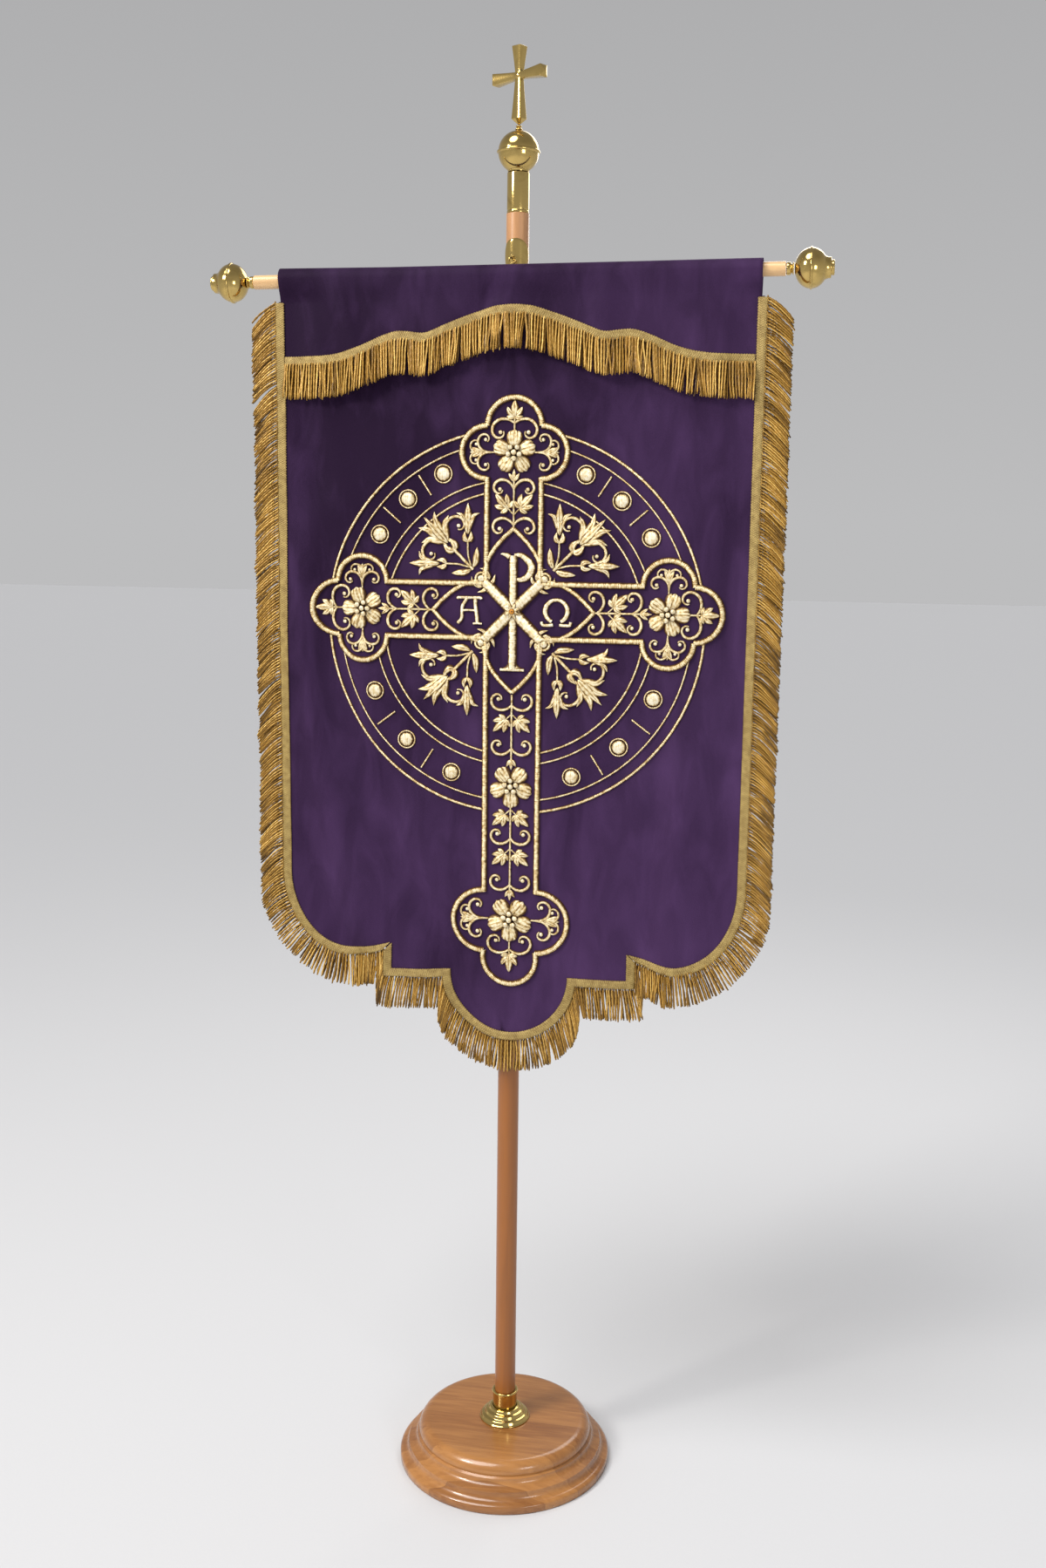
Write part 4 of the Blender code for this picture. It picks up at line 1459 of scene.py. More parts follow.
    def build_valance(self) -> Item:
        """The valance: over the bar, down to its scalloped edge."""
        middle = self.drape.middle
        spread = np.linspace(middle - self.valance_half, middle + self.valance_half, self.valance_columns)
        columns = sorted(
            [*(x for x in spread if abs(x) > 1.6 * self.eye_hole), -self.eye_hole, self.eye_hole]
        )
        grid = []
        for x in columns:
            front = np.linspace(
                self.seam_height, float(self.valance_low(x)) - self.hem.hem, self.valance_rows
            )
            heights = np.array([self.under_bar, (self.under_bar + self.seam_height) / 2, *front])
            depths = self.drape.valance_y(np.full(len(heights), x), heights)
            over = self.sleeve(x, self.drape.sleeve + self.drape.layer)
            grid.append(over + [(x, *row) for row in zip(depths.tolist(), heights.tolist())])
        item = self.sheet("velvet_valance", columns, grid)
        return dress(item, self.velvet, ["valance"])


# Fringe


@dataclass
class Station:
    """A place along a fringe: the heading's two edges, and functions for the cords that leave it."""

    inner: Point
    outer: Point
    reach: Callable[[float], Point]


@dataclass
class Fringe:
    """One run of bullion fringe: a woven heading with twisted cords below it."""

    name: str
    stations: list[Station]
    woven: Finish
    bullion: Finish
    seed: int
    row_gap: float = 0.0024
    thick: float = 0.0016
    pitch: float = 0.0047
    step: float = 0.0014
    scallop: float = 0.0042

    def rail(self, spacing: float) -> tuple[np.ndarray, np.ndarray]:
        """Places spaced evenly along the heading.

        Args:
            spacing: the distance between places.

        Returns:
            The places as fractional station numbers, and the distance of each along the heading.
        """
        line = np.array([(np.array(s.inner) + np.array(s.outer)) / 2 for s in self.stations])
        length = np.concatenate([[0.0], np.cumsum(np.linalg.norm(np.diff(line, axis=0), axis=1))])
        wanted = np.arange(0.0, length[-1], spacing)
        return np.interp(wanted, length, np.arange(len(line))), wanted

    def build_heading(self) -> Item:
        """The woven heading: a crowned strip whose inner edge is scalloped."""
        places, along = self.rail(self.step)
        inner = np.array([s.inner for s in self.stations])
        outer = np.array([s.outer for s in self.stations])
        numbers = np.arange(len(inner))
        inner, outer = (
            np.stack([np.interp(places, numbers, e[:, k]) for k in range(3)], -1) for e in (inner, outer)
        )
        width = np.linalg.norm(outer - inner, axis=1)
        shares = np.array([0.0, 0.0, 0.09, 0.3, 0.5, 0.7, 0.91, 1.0, 1.0])
        lifts = np.array([-0.5, 0.12, 0.42, 0.48, 0.42, 0.50, 0.46, 0.15, -0.5]) * self.thick
        wave = np.abs(np.sin(along * math.pi / self.scallop)) * 0.0011
        start = -wave / width
        spots = start[:, None] * (1 - shares[None, :]) + shares[None, :]
        points = inner[:, None, :] + (outer - inner)[:, None, :] * spots[..., None]
        points[..., 1] -= lifts[None, :]
        threads = np.stack(
            np.broadcast_arrays(along[:, None], shares[None, :] * 2 - 1, spots * width[:, None]), -1
        )
        shape = Shape()
        shape.add(points, tube_faces(len(along), len(shares)), threads)
        return dress(shape.piece(self.name + "_heading", 50), self.woven, [self.name])

    def cord_lines(self) -> Item:
        """The lines that the cords follow: hanging from the heading, leaning together in small bunches."""
        draw = np.random.default_rng(self.seed)
        front, _ = self.rail(self.pitch)
        rear = (front[1:] + front[:-1]) / 2
        steps = np.linspace(0.0, 1.0, 13)
        lines, shades = [], []
        bunch, size, lean, back = 0, 0, 0.0, 0.0
        for number, place in enumerate([*rear, *front]):
            behind = self.row_gap if number < len(rear) else 0.0
            if bunch >= size:
                bunch, size = 0, int(draw.integers(3, 8))
                lean, back = draw.normal(0.0, 0.0022), draw.normal(0.0, 0.0022)
                squeeze = draw.uniform(0.06, 0.34)
            pull = (size / 2 - 0.5 - bunch) * self.pitch * squeeze + lean
            bunch += 1
            ratio = 1.0 + draw.normal(0.0, 0.022) - 0.02
            index = min(int(place), len(self.stations) - 2)
            share = place - index
            here, there = self.stations[index], self.stations[index + 1]
            tangent = np.array(there.outer) - np.array(here.outer)
            tangent /= max(np.linalg.norm(tangent), 1e-9)
            sway, phase = draw.normal(0.0, 0.0007), draw.uniform(0.0, math.tau)
            line = []
            for step in steps:
                reach = step * ratio
                base = np.array(here.reach(reach)) * (1 - share) + np.array(there.reach(reach)) * share
                base = base + tangent * (pull * step**1.3 + sway * math.sin(step * 5.0 + phase))
                wander = 0.0009 * math.sin(phase) + 0.0005 * math.sin(step * 6.0 + phase)
                base[1] += behind + back * step**1.5 + wander
                line.append(base)
            lines.append(line)
            # painted shade: the rear row's cords get a much darker stored shade than the front row's, each
            # with its own random tone as well
            shades.append(float(np.clip(draw.normal(0.70 if behind == 0.0 else 0.20, 0.20), 0.0, 1.0)))
        count = len(steps)
        mesh = bpy.data.meshes.new(self.name + "_lines")
        edges = [(i * count + j, i * count + j + 1) for i in range(len(lines)) for j in range(count - 1)]
        mesh.from_pydata(np.array(lines).reshape(-1, 3).tolist(), edges, [])
        shade = mesh.attributes.new("shade", "FLOAT", "POINT")
        shade.data.foreach_set("value", np.repeat(np.array(shades, np.float32), count))
        return added(self.name + "_cords", mesh)

    def build_cords(self, tree: "CordTree") -> Item:
        """The twisted cords, made from their lines."""
        return dress(tree.applied(self.cord_lines(), self.bullion), self.bullion)


class CordTree(NodeWriter):
    """A Geometry Nodes tree that lays a twisted two-strand cord along every line of a mesh."""

    INPUTS = (
        ("Radius", "Float", 0.00185), ("Flatness", "Float", 0.80), ("Twist", "Float", 330.0),
        ("Sides", "Int", 6)
    )

    def __init__(self) -> None:
        """Builds the tree with its inputs: Radius, Flatness, Twist, Sides and Material."""
        self.tree = bpy.data.node_groups.new("twisted_cords", "GeometryNodeTree")
        face = self.tree.interface
        face.new_socket("Geometry", in_out="INPUT", socket_type="NodeSocketGeometry")
        self.sockets = {}
        for name, kind, value in self.INPUTS:
            socket = face.new_socket(name, in_out="INPUT", socket_type="NodeSocket" + kind)
            socket.default_value = value
            self.sockets[name] = socket.identifier
        self.sockets["Material"] = face.new_socket(
            "Material", in_out="INPUT", socket_type="NodeSocketMaterial"
        ).identifier
        face.new_socket("Geometry", in_out="OUTPUT", socket_type="NodeSocketGeometry")
        self.build()

    def build(self) -> None:
        """Joins the nodes: lines to curves, tilted and tapered, swept with a flattened round section."""
        given = self.node("NodeGroupInput")
        curve = self.node("GeometryNodeMeshToCurve", None, {0: given.outputs["Geometry"]})
        spline = self.node("GeometryNodeSplineParameter")
        tilt = self.node(
            "ShaderNodeMath", {"operation": "MULTIPLY"},
            {0: spline.outputs["Length"], 1: given.outputs["Twist"]}
        )
        turned = self.node("GeometryNodeSetCurveTilt", None, {"Curve": curve, "Tilt": tilt})
        shade = self.node("GeometryNodeInputNamedAttribute", {"data_type": "FLOAT"}, {"Name": "shade"})
        pair = self.node("ShaderNodeCombineXYZ", None, {0: spline.outputs["Length"], 1: shade})
        kept = self.node(
            "GeometryNodeStoreNamedAttribute",
            {"data_type": "FLOAT_VECTOR", "domain": "POINT"},
            {"Geometry": turned, "Name": "along", "Value": pair},
        )
        taper = self.node("ShaderNodeFloatCurve", None, {"Value": spline.outputs["Factor"]})
        points = taper.mapping.curves[0].points
        points.new(0.93, 1.0)
        points[0].location, points[-1].location = (0.0, 0.85), (1.0, 0.62)
        taper.mapping.update()
        sized = self.node("ShaderNodeMath", {"operation": "MULTIPLY"}, {0: taper, 1: given.outputs["Radius"]})
        section = self.node(
            "GeometryNodeCurvePrimitiveCircle", None, {"Resolution": given.outputs["Sides"], "Radius": 1.0}
        )
        position = self.node("GeometryNodeInputPosition")
        around = self.node(
            "GeometryNodeStoreNamedAttribute",
            {"data_type": "FLOAT_VECTOR", "domain": "POINT"},
            {"Geometry": section, "Name": "around", "Value": position},
        )
        flat = self.node("ShaderNodeCombineXYZ", None, {0: 1.0, 1: given.outputs["Flatness"], 2: 1.0})
        shaped = self.node("GeometryNodeTransform", None, {"Geometry": around, "Scale": flat})
        widened = self.node("GeometryNodeSetCurveRadius", None, {"Curve": kept, "Radius": sized})
        solid = self.node(
            "GeometryNodeCurveToMesh", None, {"Curve": widened, "Profile Curve": shaped, "Fill Caps": True}
        )
        if "Scale" in solid.inputs:
            self.tree.links.new(sized.outputs[0], solid.inputs["Scale"])
        smooth = self.node("GeometryNodeSetShadeSmooth", None, {0: solid, "Shade Smooth": True})
        real = self.node("GeometryNodeRealizeInstances", None, {0: smooth})
        coloured = self.node(
            "GeometryNodeSetMaterial", None, {"Geometry": real, "Material": given.outputs["Material"]}
        )
        self.node("NodeGroupOutput", None, {0: coloured})

    def applied(self, item: Item, material: Finish, **inputs: float) -> Item:
        """Makes an object's lines into cords and leaves it a plain mesh.

        Args:
            item: the object whose mesh holds the lines.
            material: the cords' material.
            inputs: the tree's inputs by name, where they differ from their own values.

        Returns:
            The same object.
        """
        modifier = item.modifiers.new("cords", "NODES")
        modifier.node_group = self.tree
        for name, value in (inputs | {"Material": material}).items():
            modifier[self.sockets[name]] = value
        graph = bpy.context.evaluated_depsgraph_get()
        made = bpy.data.meshes.new_from_object(item.evaluated_get(graph), depsgraph=graph)
        item.modifiers.clear()
        item.data = made
        work = bmesh.new()
        work.from_mesh(made)
        bmesh.ops.recalc_face_normals(work, faces=work.faces)
        work.to_mesh(made)
        work.free()
        return item


@dataclass
class Trims:
    """The four runs of fringe: left and right sides, the bottom, and the valance."""

    drape: Drape
    hem: Hem
    cloth: Cloth
    woven: Finish
    bullion: Finish
    lift: float = 0.0021
    side_lift: float = 0.0043
    under_valance: float = 1.800
    forward: float = 0.0045
    mitre: float = 0.985
    spacing: float = 0.0045
    tuck: float = 0.003
    behind: float = 0.0015
    hang: tuple = (
        # stretch, (shares along it), (how far sideways a cord leans there)
        (Stretch.SLOPE, (0.0, 1.0), (0.00, 0.08)),
        (Stretch.NOTCH, (0.0, 1.0), (0.34, 0.30)),
        (Stretch.STEP, (0.0, 0.5, 1.0), (0.26, 0.10, 0.14)),
        (Stretch.LOBE, (0.0, 0.35, 0.7, 1.0), (0.18, 0.42, 0.28, 0.0)),
    )

    def edge_station(self, side: int, part: Stretch, share: float, back: float = 0.0) -> Station:
        """The station at a place on the panel's edge; side is 1 right, -1 left.

        Args:
            side: 1 for the right half, -1 for the left.
            part: the stretch of the edge.
            share: how far along the stretch.
            back: how much further back the cords hang.

        Returns:
            The station.
        """
        away, height = self.hem.point(part, share, 0.0)
        hem_away, hem_height = self.hem.point(part, share, self.hem.hem)
        hem_height = height if part is Stretch.SIDE else hem_height
        x = self.drape.middle + side * away
        shown = float(self.drape.panel_y(x, height))
        hem = float(self.drape.panel_y(self.drape.middle + side * hem_away, hem_height))
        lift = self.lift + (self.side_lift - self.lift) * float(ease((height - self.under_valance) / 0.030))
        outer = shown + (hem - shown) * self.hem.heading / self.hem.hem - lift

        far_away, far_height = self.hem.point(part, share, self.hem.heading)
        slants = [
            float(np.interp(share, where, slant)) for stretch, where, slant in self.hang if stretch is part
        ]

        def reach(past: float) -> Point:
            """The place on a cord this share of its length past the heading."""
            length = (self.hem.cord + self.tuck) * past
            cord_away, cord_height = self.hem.point(
                part, share, self.hem.heading + max(length - self.tuck, 0.0)
            )
            for slant in slants:
                out = slant * length * (1.0 - 0.25 * past)
                cord_away, cord_height = far_away + out, far_height - math.sqrt(length**2 - out**2)
            tucked = self.tuck if past == 0.0 else 0.0
            return self.drape.middle + side * cord_away, outer + back + 0.0006, cord_height + tucked

        return Station(
            (x, shown - lift, height), (self.drape.middle + side * far_away, outer, far_height), reach
        )

    def valance_station(self, x: float) -> Station:
        """The station at a place on the valance's edge.

        Args:
            x: how far across.

        Returns:
            The station.
        """
        top = float(self.cloth.valance_low(x))
        shown, hem = (float(self.drape.valance_y(x, z)) for z in (top, top - self.hem.hem))
        outer = shown + (hem - shown) * self.hem.heading / self.hem.hem - self.lift

        def reach(past: float) -> Point:
            """The place on a cord this share of its length past the heading."""
            height = top - self.hem.heading + self.tuck - (self.hem.cord + self.tuck) * past
            return x, outer - 0.0008 - self.forward * past, height

        return Station((x, shown - self.lift, top), (x, outer, top - self.hem.heading), reach)

    def runs(self) -> list[Fringe]:
        """The four runs, left to be built."""
        sides = self.hem.line(
            (Stretch.SIDE, Stretch.CORNER, Stretch.SLOPE), 0.0, self.spacing, last=self.mitre
        )
        stations = {
            "fringe_left": [self.edge_station(-1, *station) for station in sides],
            "fringe_right": [self.edge_station(1, *station) for station in sides],
        }
        lower = []
        for part in (Stretch.NOTCH, Stretch.STEP, Stretch.LOBE):
            lower = lower[:-1] + self.hem.line((part,), 0.0, self.spacing)
        right = [self.edge_station(1, *station, self.behind) for station in lower]
        left = [self.edge_station(-1, *station, self.behind) for station in lower[:-1]]
        stations["fringe_bottom"] = right + left[::-1]
        half = self.hem.half_width - 0.0012
        across = np.linspace(self.drape.middle - half, self.drape.middle + half, 160)
        stations["fringe_valance"] = [self.valance_station(x) for x in across]
        named = enumerate(stations.items())
        return [
            Fringe(name, places, self.woven, self.bullion, SEED + number) for number, (name, places) in named
        ]


# Embroidery


@dataclass(frozen=True)
class Spot:
    """Where a motif lies: its own origin and direction, and whether it is mirrored."""

    origin: complex = 0j
    turn: float = 0.0
    flip: bool = False
    scale: float = 1.0

    def __call__(self, places: Iterable[complex] | complex) -> np.ndarray:
        """The motif's own places (along + side j) as places on the cloth (across + height j)."""
        places = np.asarray(places, complex) * self.scale
        return self.origin + (np.conj(places) if self.flip else places) * unit(self.turn)

    def at(self, origin: complex, turn: float = 0.0, scale: float = 1.0) -> "Spot":
        """A spot within this one."""
        sense = -1.0 if self.flip else 1.0
        return Spot(complex(self(origin)), self.turn + sense * turn, self.flip, self.scale * scale)


@dataclass
class Needlework:
    """Raised satin shapes sewn to the panel and gathered into one piece, in millimetres from the middle."""

    name: str
    drape: Drape
    satin: Finish
    middle: tuple[float, float] = (0.007, 1.460)
    sunk: float = 0.0007
    root: float = -0.35
    padding: float = 1.25
    shape: Shape = field(default_factory=Shape)

    def laid(self, places: np.ndarray, rise: np.ndarray) -> np.ndarray:
        """Points of the cloth's face at these places, raised by rise in millimetres.

        Args:
            places: the places, as complex numbers.
            rise: how high each is raised.

        Returns:
            The points, in metres.
        """
        x, z = self.middle[0] + places.real * MM, self.middle[1] + places.imag * MM
        raised = np.maximum(rise * self.padding, self.root) * MM
        return np.stack([x, self.drape.panel_y(x, z) - self.sunk - raised, z], -1)

    def ribbon(
        self, path: np.ndarray, half: object, height: float = 2.0, closed: bool = False, lift: float = 0.0,
        crease: float = 0.0
    ) -> None:
        """Adds a crowned ribbon of satin.

        Args:
            path: the places along its middle.
            half: its half width, one number or one for each place.
            height: how high it is padded.
            closed: whether it runs round and closes.
            lift: how much higher it lies than the cloth.
            crease: how far its middle is drawn in, as a share of the height.
        """
        path = np.asarray(path, complex)
        half = np.broadcast_to(np.asarray(half, float), path.shape)
        tangent = np.roll(path, -1) - np.roll(path, 1) if closed else np.gradient(path)
        side = 1j * tangent / np.maximum(np.abs(tangent), 1e-9)
        across = np.array([-1.0, -0.95, -0.78, -0.42, 0.0, 0.42, 0.78, 0.95, 1.0])
        crown = np.array([-0.30, 0.28, 0.66, 0.93, 1.0 - crease, 0.93, 0.66, 0.28, -0.30])
        places = path[:, None] + side[:, None] * half[:, None] * across[None, :]
        padded = height * np.clip(half / max(half.max(), 1e-9), 0.0, 1.0) ** 0.7
        points = self.laid(places, crown[None, :] * padded[:, None] + lift)
        along = np.concatenate([[0.0], np.cumsum(np.abs(np.diff(path)))]) + 7.3 * len(self.shape.points)
        offset = half[:, None] * across[None, :] * MM
        threads = np.stack(np.broadcast_arrays(along[:, None] * MM, across[None, :], offset), -1)
        sizes = len(path), len(across)
        self.shape.add(points, grid_faces(*sizes, True, True) if closed else tube_faces(*sizes), threads)

    def bead(self, centre: complex, radius: float, height: float = 3.0, lift: float = 0.0) -> None:
        """Adds a padded round of satin.

        Args:
            centre: its middle.
            radius: its radius.
            height: how high it is padded.
            lift: how much higher it lies than the cloth.
        """
        sides = 20
        spokes = np.exp(1j * np.arange(sides) * math.tau / sides)
        shares = np.array([1.0, 0.97, 0.86, 0.66, 0.36, 0.0])
        crown = np.array([-0.25, 0.24, 0.55, 0.80, 0.96, 1.0])
        places = centre + radius * shares[:, None] * spokes[None, :]
        points = self.laid(places, np.broadcast_to(crown[:, None] * height + lift, places.shape))
        offset = (places - centre) * MM
        edge = np.broadcast_to(shares[:, None] ** 2.2, places.shape)
        threads = np.stack([offset.real + 0.0031 * len(self.shape.points), edge, offset.imag], -1)
        self.shape.add(
            points, [*grid_faces(len(shares), sides, round_columns=True), tuple(range(sides))], threads
        )

    def round(
        self, centre: complex, radius: float, half: float, height: float = 2.0, lift: float = 0.0
    ) -> None:
        """Adds a ring of satin.

        Args:
            centre: its middle.
            radius: the radius of its middle line.
            half: half its width.
            height: how high it is padded.
            lift: how much higher it lies than the cloth.
        """
        steps = max(int(radius * 2.4), 24)
        self.ribbon(
            centre + radius * np.exp(1j * np.arange(steps) * math.tau / steps), half, height, True, lift
        )

    def blade(
        self, path: Iterable[complex], half: float, height: float = 2.2, lift: float = 0.0,
        crease: float = 0.25, blunt: float = 0.0
    ) -> None:
        """Adds a leaf-like shape along a smooth path, narrow at its root and full past its middle.

        Args:
            path: a few places that its middle passes through.
            half: its greatest half width.
            height: how high it is padded.
            lift: how much higher it lies than the cloth.
            crease: how far its vein is drawn in.
            blunt: from 0, a pointed end, to 1, a round one.
        """
        knots = np.asarray(list(path), complex)
        line = through(np.stack([knots.real, knots.imag], -1), max(int(14 / (len(knots) - 1)), 4))
        line = line[:, 0] + 1j * line[:, 1]
        share = np.linspace(0.0, 1.0, len(line))
        full = np.sin(math.pi * share ** (0.80 + 0.35 * blunt)) ** (0.85 - 0.45 * blunt)
        self.ribbon(line, np.maximum(half * np.nan_to_num(full), 0.16), height, lift=lift, crease=crease)

    def build(self) -> Item:
        """Makes the gathered shapes one piece."""
        return dress(self.shape.piece(self.name, 75, WELD / 10), self.satin)


@dataclass(frozen=True)
class Arm:
    """One arm of the cross: how far its straight sides, its side lobes and its end lobe reach."""

    turn: float
    straight: float
    lobe: float
    end: float
    end_radius: float = 42.5
    half: float = 42.5
    start: float = 46.0

    @property
    def middle(self) -> float:
        """How far out the side lobes' middle is."""
        return self.straight + self.lobe

    def covers(self, places: np.ndarray, margin: float) -> np.ndarray:
        """Whether places lie within the arm's outline.

        Args:
            places: the places, as complex numbers.
            margin: how far outside the outline still counts.

        Returns:
            True for each place within.
        """
        local = places * np.conj(unit(self.turn))
        side = np.abs(local.imag)
        inside = (local.real > 0) & (local.real < self.end) & (side < self.half + margin)
        inside |= np.abs(local.real + 1j * side - (self.middle + 1j * self.half)) < self.lobe + margin
        return inside | (np.abs(local - self.end) < self.end_radius + margin)


@dataclass
class Embroidery:
    """The cross with its flowers, the ring and its dots, the monogram and the four sprays."""

    drape: Drape
    dotted: Finish
    across: Finish
    slanted: Finish
    lengthwise: Finish
    amber: Finish
    ring_middle: complex = -21j
    ring_lines: tuple = ((299.0, 2.5), (280.0, 1.7), (222.5, 1.7), (206.0, 1.9))
    dots: tuple = ((112, 210), (168, 171), (214, 116), (223, -131), (171, -208), (97, -258))
    arms: tuple = (
        Arm(0, 203, 40, 283), Arm(90, 203, 40, 283), Arm(180, 203, 40, 283), Arm(270, 448, 50.5, 558.7, 43.8)
    )

    def __post_init__(self) -> None:
        """Starts the pieces that the shapes are gathered into."""
        self.outline = Needlework("embroidery_outline", self.drape, self.dotted)
        self.stems = Needlework("embroidery_stems", self.drape, self.slanted)
        self.leaves = Needlework("embroidery_leaves", self.drape, self.lengthwise)
        self.beads = Needlework("embroidery_beads", self.drape, self.across)
        self.letters = Needlework("embroidery_letters", self.drape, self.across)
        self.heart = Needlework("embroidery_heart", self.drape, self.amber)

    def build(self) -> list[Item]:
        """Lays out every motif and makes the pieces."""
        for arm in self.arms:
            self.outline_arm(arm)
        for arm in self.arms[:3]:
            self.fill_short_arm(Spot(turn=arm.turn))
        self.fill_long_arm(Spot(turn=self.arms[3].turn))
        self.ring()
        for turn in (45.0, 135.0, 225.0, 315.0):
            self.spray(Spot(turn=turn))
        self.monogram()
        return [
            work.build() for work in (
                self.outline, self.stems, self.leaves, self.beads, self.letters, self.heart
            )
        ]

    def outline_arm(self, arm: Arm) -> None:
        """The padded outline of an arm, and the pointed arch over the middle."""
        half, high = 5.0, 4.2
        for flip in (False, True):
            spot = Spot(turn=arm.turn, flip=flip)
            self.outline.ribbon(
                spot(np.linspace(arm.start, arm.straight + 2.5, 60) + 1j * arm.half), half, high
            )
            sweep_round = np.exp(1j * np.radians(np.linspace(180, 0, 44)))
            self.outline.ribbon(
                spot(arm.middle + 1j * arm.half + arm.lobe * sweep_round), half, high, lift=0.1
            )
            arch = curve([(55, 46.5), (74, 42), (94, 31.5), (112, 16.5), (127.5, 0)], 8)
            self.outline.ribbon(spot(arch), 4.0, 3.4, lift=0.3)
        spot = Spot(turn=arm.turn)
        reach = math.degrees(math.asin(min(arm.half / arm.end_radius, 1.0)))
        reach = 180 - reach if arm.end_radius > arm.half else reach
        round_end = np.exp(1j * np.radians(np.linspace(-reach, reach, 52)))
        self.outline.ribbon(spot(arm.end + arm.end_radius * round_end), half, high)

    def scroll(
        self, spot: Spot, start: complex, bead: complex, half: float = 2.9, round_end: float = 3.6
    ) -> None:
        """A tendril that leaves a stem forward, curls outward and back, and ends in a bead.

        Args:
            spot: where it lies.
            start: its place on the stem.
            bead: the place of the bead.
            half: half its width.
            round_end: the bead's radius.
        """
        sense = 1.0 if bead.imag > start.imag else -1.0
        turn = np.linspace(0.0, math.radians(345.0), 34)
        path = bead + (start - bead) * np.exp((-0.272 + 1j * sense) * turn)
        share = turn / turn[-1]
        widths = half * (0.62 + 0.48 * np.sin(math.pi * share**0.6)) * (1.0 - 0.25 * share)
        self.stems.ribbon(spot(path), widths * spot.scale, 2.8, lift=0.2)
        self.beads.bead(complex(spot(bead)), round_end * spot.scale, 2.6, 0.2)

    def leaf(self, spot: Spot, base: complex, angle: float, length: float) -> None:
        """A leaf of five pointed lobes on a short stalk.

        Args:
            spot: where it lies.
            base: the foot of its stalk.
            angle: its direction, in degrees from the stem.
            length: its whole length.
        """
        place = spot.at(base, angle, length / 40.0)
        self.stems.ribbon(place(np.linspace(0, 16, 6)), 1.5, 1.6)
        lobes = (
            (12, 80, 14, 4.8), (12, -80, 14, 4.8), (14, 40, 20, 5.8), (14, -40, 20, 5.8), (11, 0, 30, 7.2)
        )
        for start, turn, reach, half in lobes:
            tip = start + reach * unit(turn)
            bend = (start + tip) / 2 + 0.08 * reach * 1j * np.sign(turn) * unit(turn)
            lift = 0.2 + (0.5 if turn == 0 else 0.0)
            self.leaves.blade(place([start, bend, tip]), half * place.scale, 3.4, lift=lift, blunt=0.25)

    def flower(self, spot: Spot, centre: complex, radius: float) -> None:
        """A five-petalled flower with a ring of beads.

        Args:
            spot: where it lies.
            centre: its middle.
            radius: its radius.
        """
        place = spot.at(centre, 0.0, radius / 35.0)
        for number in range(5):
            turn = unit(72.0 * number)
            for offset, half in ((-0.20, 8.6), (0.20, 8.6), (0.0, 9.4)):
                sway = np.exp(1j * offset)
                reach, lift = (33.0, 0.5) if offset else (34.5, 0.5 + 0.3)
                path = place([6 * turn, 20 * turn * sway, reach * turn * sway])
                self.leaves.blade(path, half * place.scale, 3.8, lift, 0.16, 1.0)
        for number in range(5):
            turn = unit(72.0 * number + 36.0)
            self.beads.bead(complex(place(9.2 * turn)), 4.6 * place.scale, 4.0, 4.0)
        self.beads.bead(complex(place(0j)), 4.8 * place.scale, 3.6, 4.8)

    def calyx(self, spot: Spot, base: float, length: float) -> None:
        """Three narrow sepals under a flower."""
        for turn in (34, -34, 0):
            tip = base + length * unit(turn) * (1.0 if turn == 0 else 0.82)
            self.leaves.blade(spot([base, (base + tip) / 2, tip]), 3.8, 2.8, 0.3)

    def scroll_pair(self, spot: Spot, start: float, along: float, side: float) -> None:
        """Two tendrils, one each side of a stem."""
        self.scroll(spot, complex(start, 0.6), complex(along, side))
        self.scroll(spot, complex(start, -0.6), complex(along, -side))

    def leaf_pair(self, spot: Spot, along: float, angle: float, length: float) -> None:
        """Two leaves, one each side of a stem."""
        self.leaf(spot, complex(along, 1.5), angle, length)
        self.leaf(spot, complex(along, -1.5), -angle, length)

    def side_cluster(self, spot: Spot, scale: float = 1.0) -> None:
        """A bud with two unequal tendrils each side, growing from a flower into a side lobe.

        Args:
            spot: the flower's place, turned toward the lobe.
            scale: its size, 1 in a short arm.
        """
        place = Spot(spot.origin, spot.turn, spot.flip, scale)
        self.stems.ribbon(place(np.linspace(30, 54, 8)), 1.6 * scale, 1.8)
        for turn in (24, -24, 0):
            tip = 52 + 18 * unit(turn)
            self.leaves.blade(place([49, (50 + tip) / 2, tip]), 4.0 * scale, 3.0, 0.3, blunt=0.2)
        for sign in (1, -1):
            self.scroll(place, 37 + 0.4j * sign, 45 + 19j * sign, 2.5, 3.2)
            self.scroll(place, 49 + 0.4j * sign, 60 + 12j * sign, 2.0, 2.8)

    def fill_short_arm(self, spot: Spot) -> None:
        """The vine, leaves and flower of a short arm."""
        self.stems.ribbon(spot(np.linspace(126, 214, 24)), 2.0, 2.2)
        self.scroll_pair(spot, 133, 127, 22)
        self.leaf_pair(spot, 150, 43, 40)
        self.scroll_pair(spot, 188, 187, 22)
        self.calyx(spot, 199, 19)
        self.flower(spot, 243, 35)
        self.end_cluster(spot, 278, 290, 29)
        for turn in (90.0, -90.0):
            self.side_cluster(spot.at(243, turn))

    def end_cluster(self, spot: Spot, scroll_start: float, leaf_start: float, length: float) -> None:
        """The stem, tendrils and crowning leaf in an end lobe.

        Args:
            spot: the arm.
            scroll_start: where its stem begins.
            leaf_start: where the leaf begins.
            length: how long the leaf is.
        """
        self.stems.ribbon(spot(np.linspace(scroll_start - 4, leaf_start + 4, 8)), 1.8, 2.0)
        self.scroll_pair(spot, scroll_start + 9, scroll_start - 5, 22)
        self.leaf(spot, complex(leaf_start - 6, 0), 0.0, length + 8)

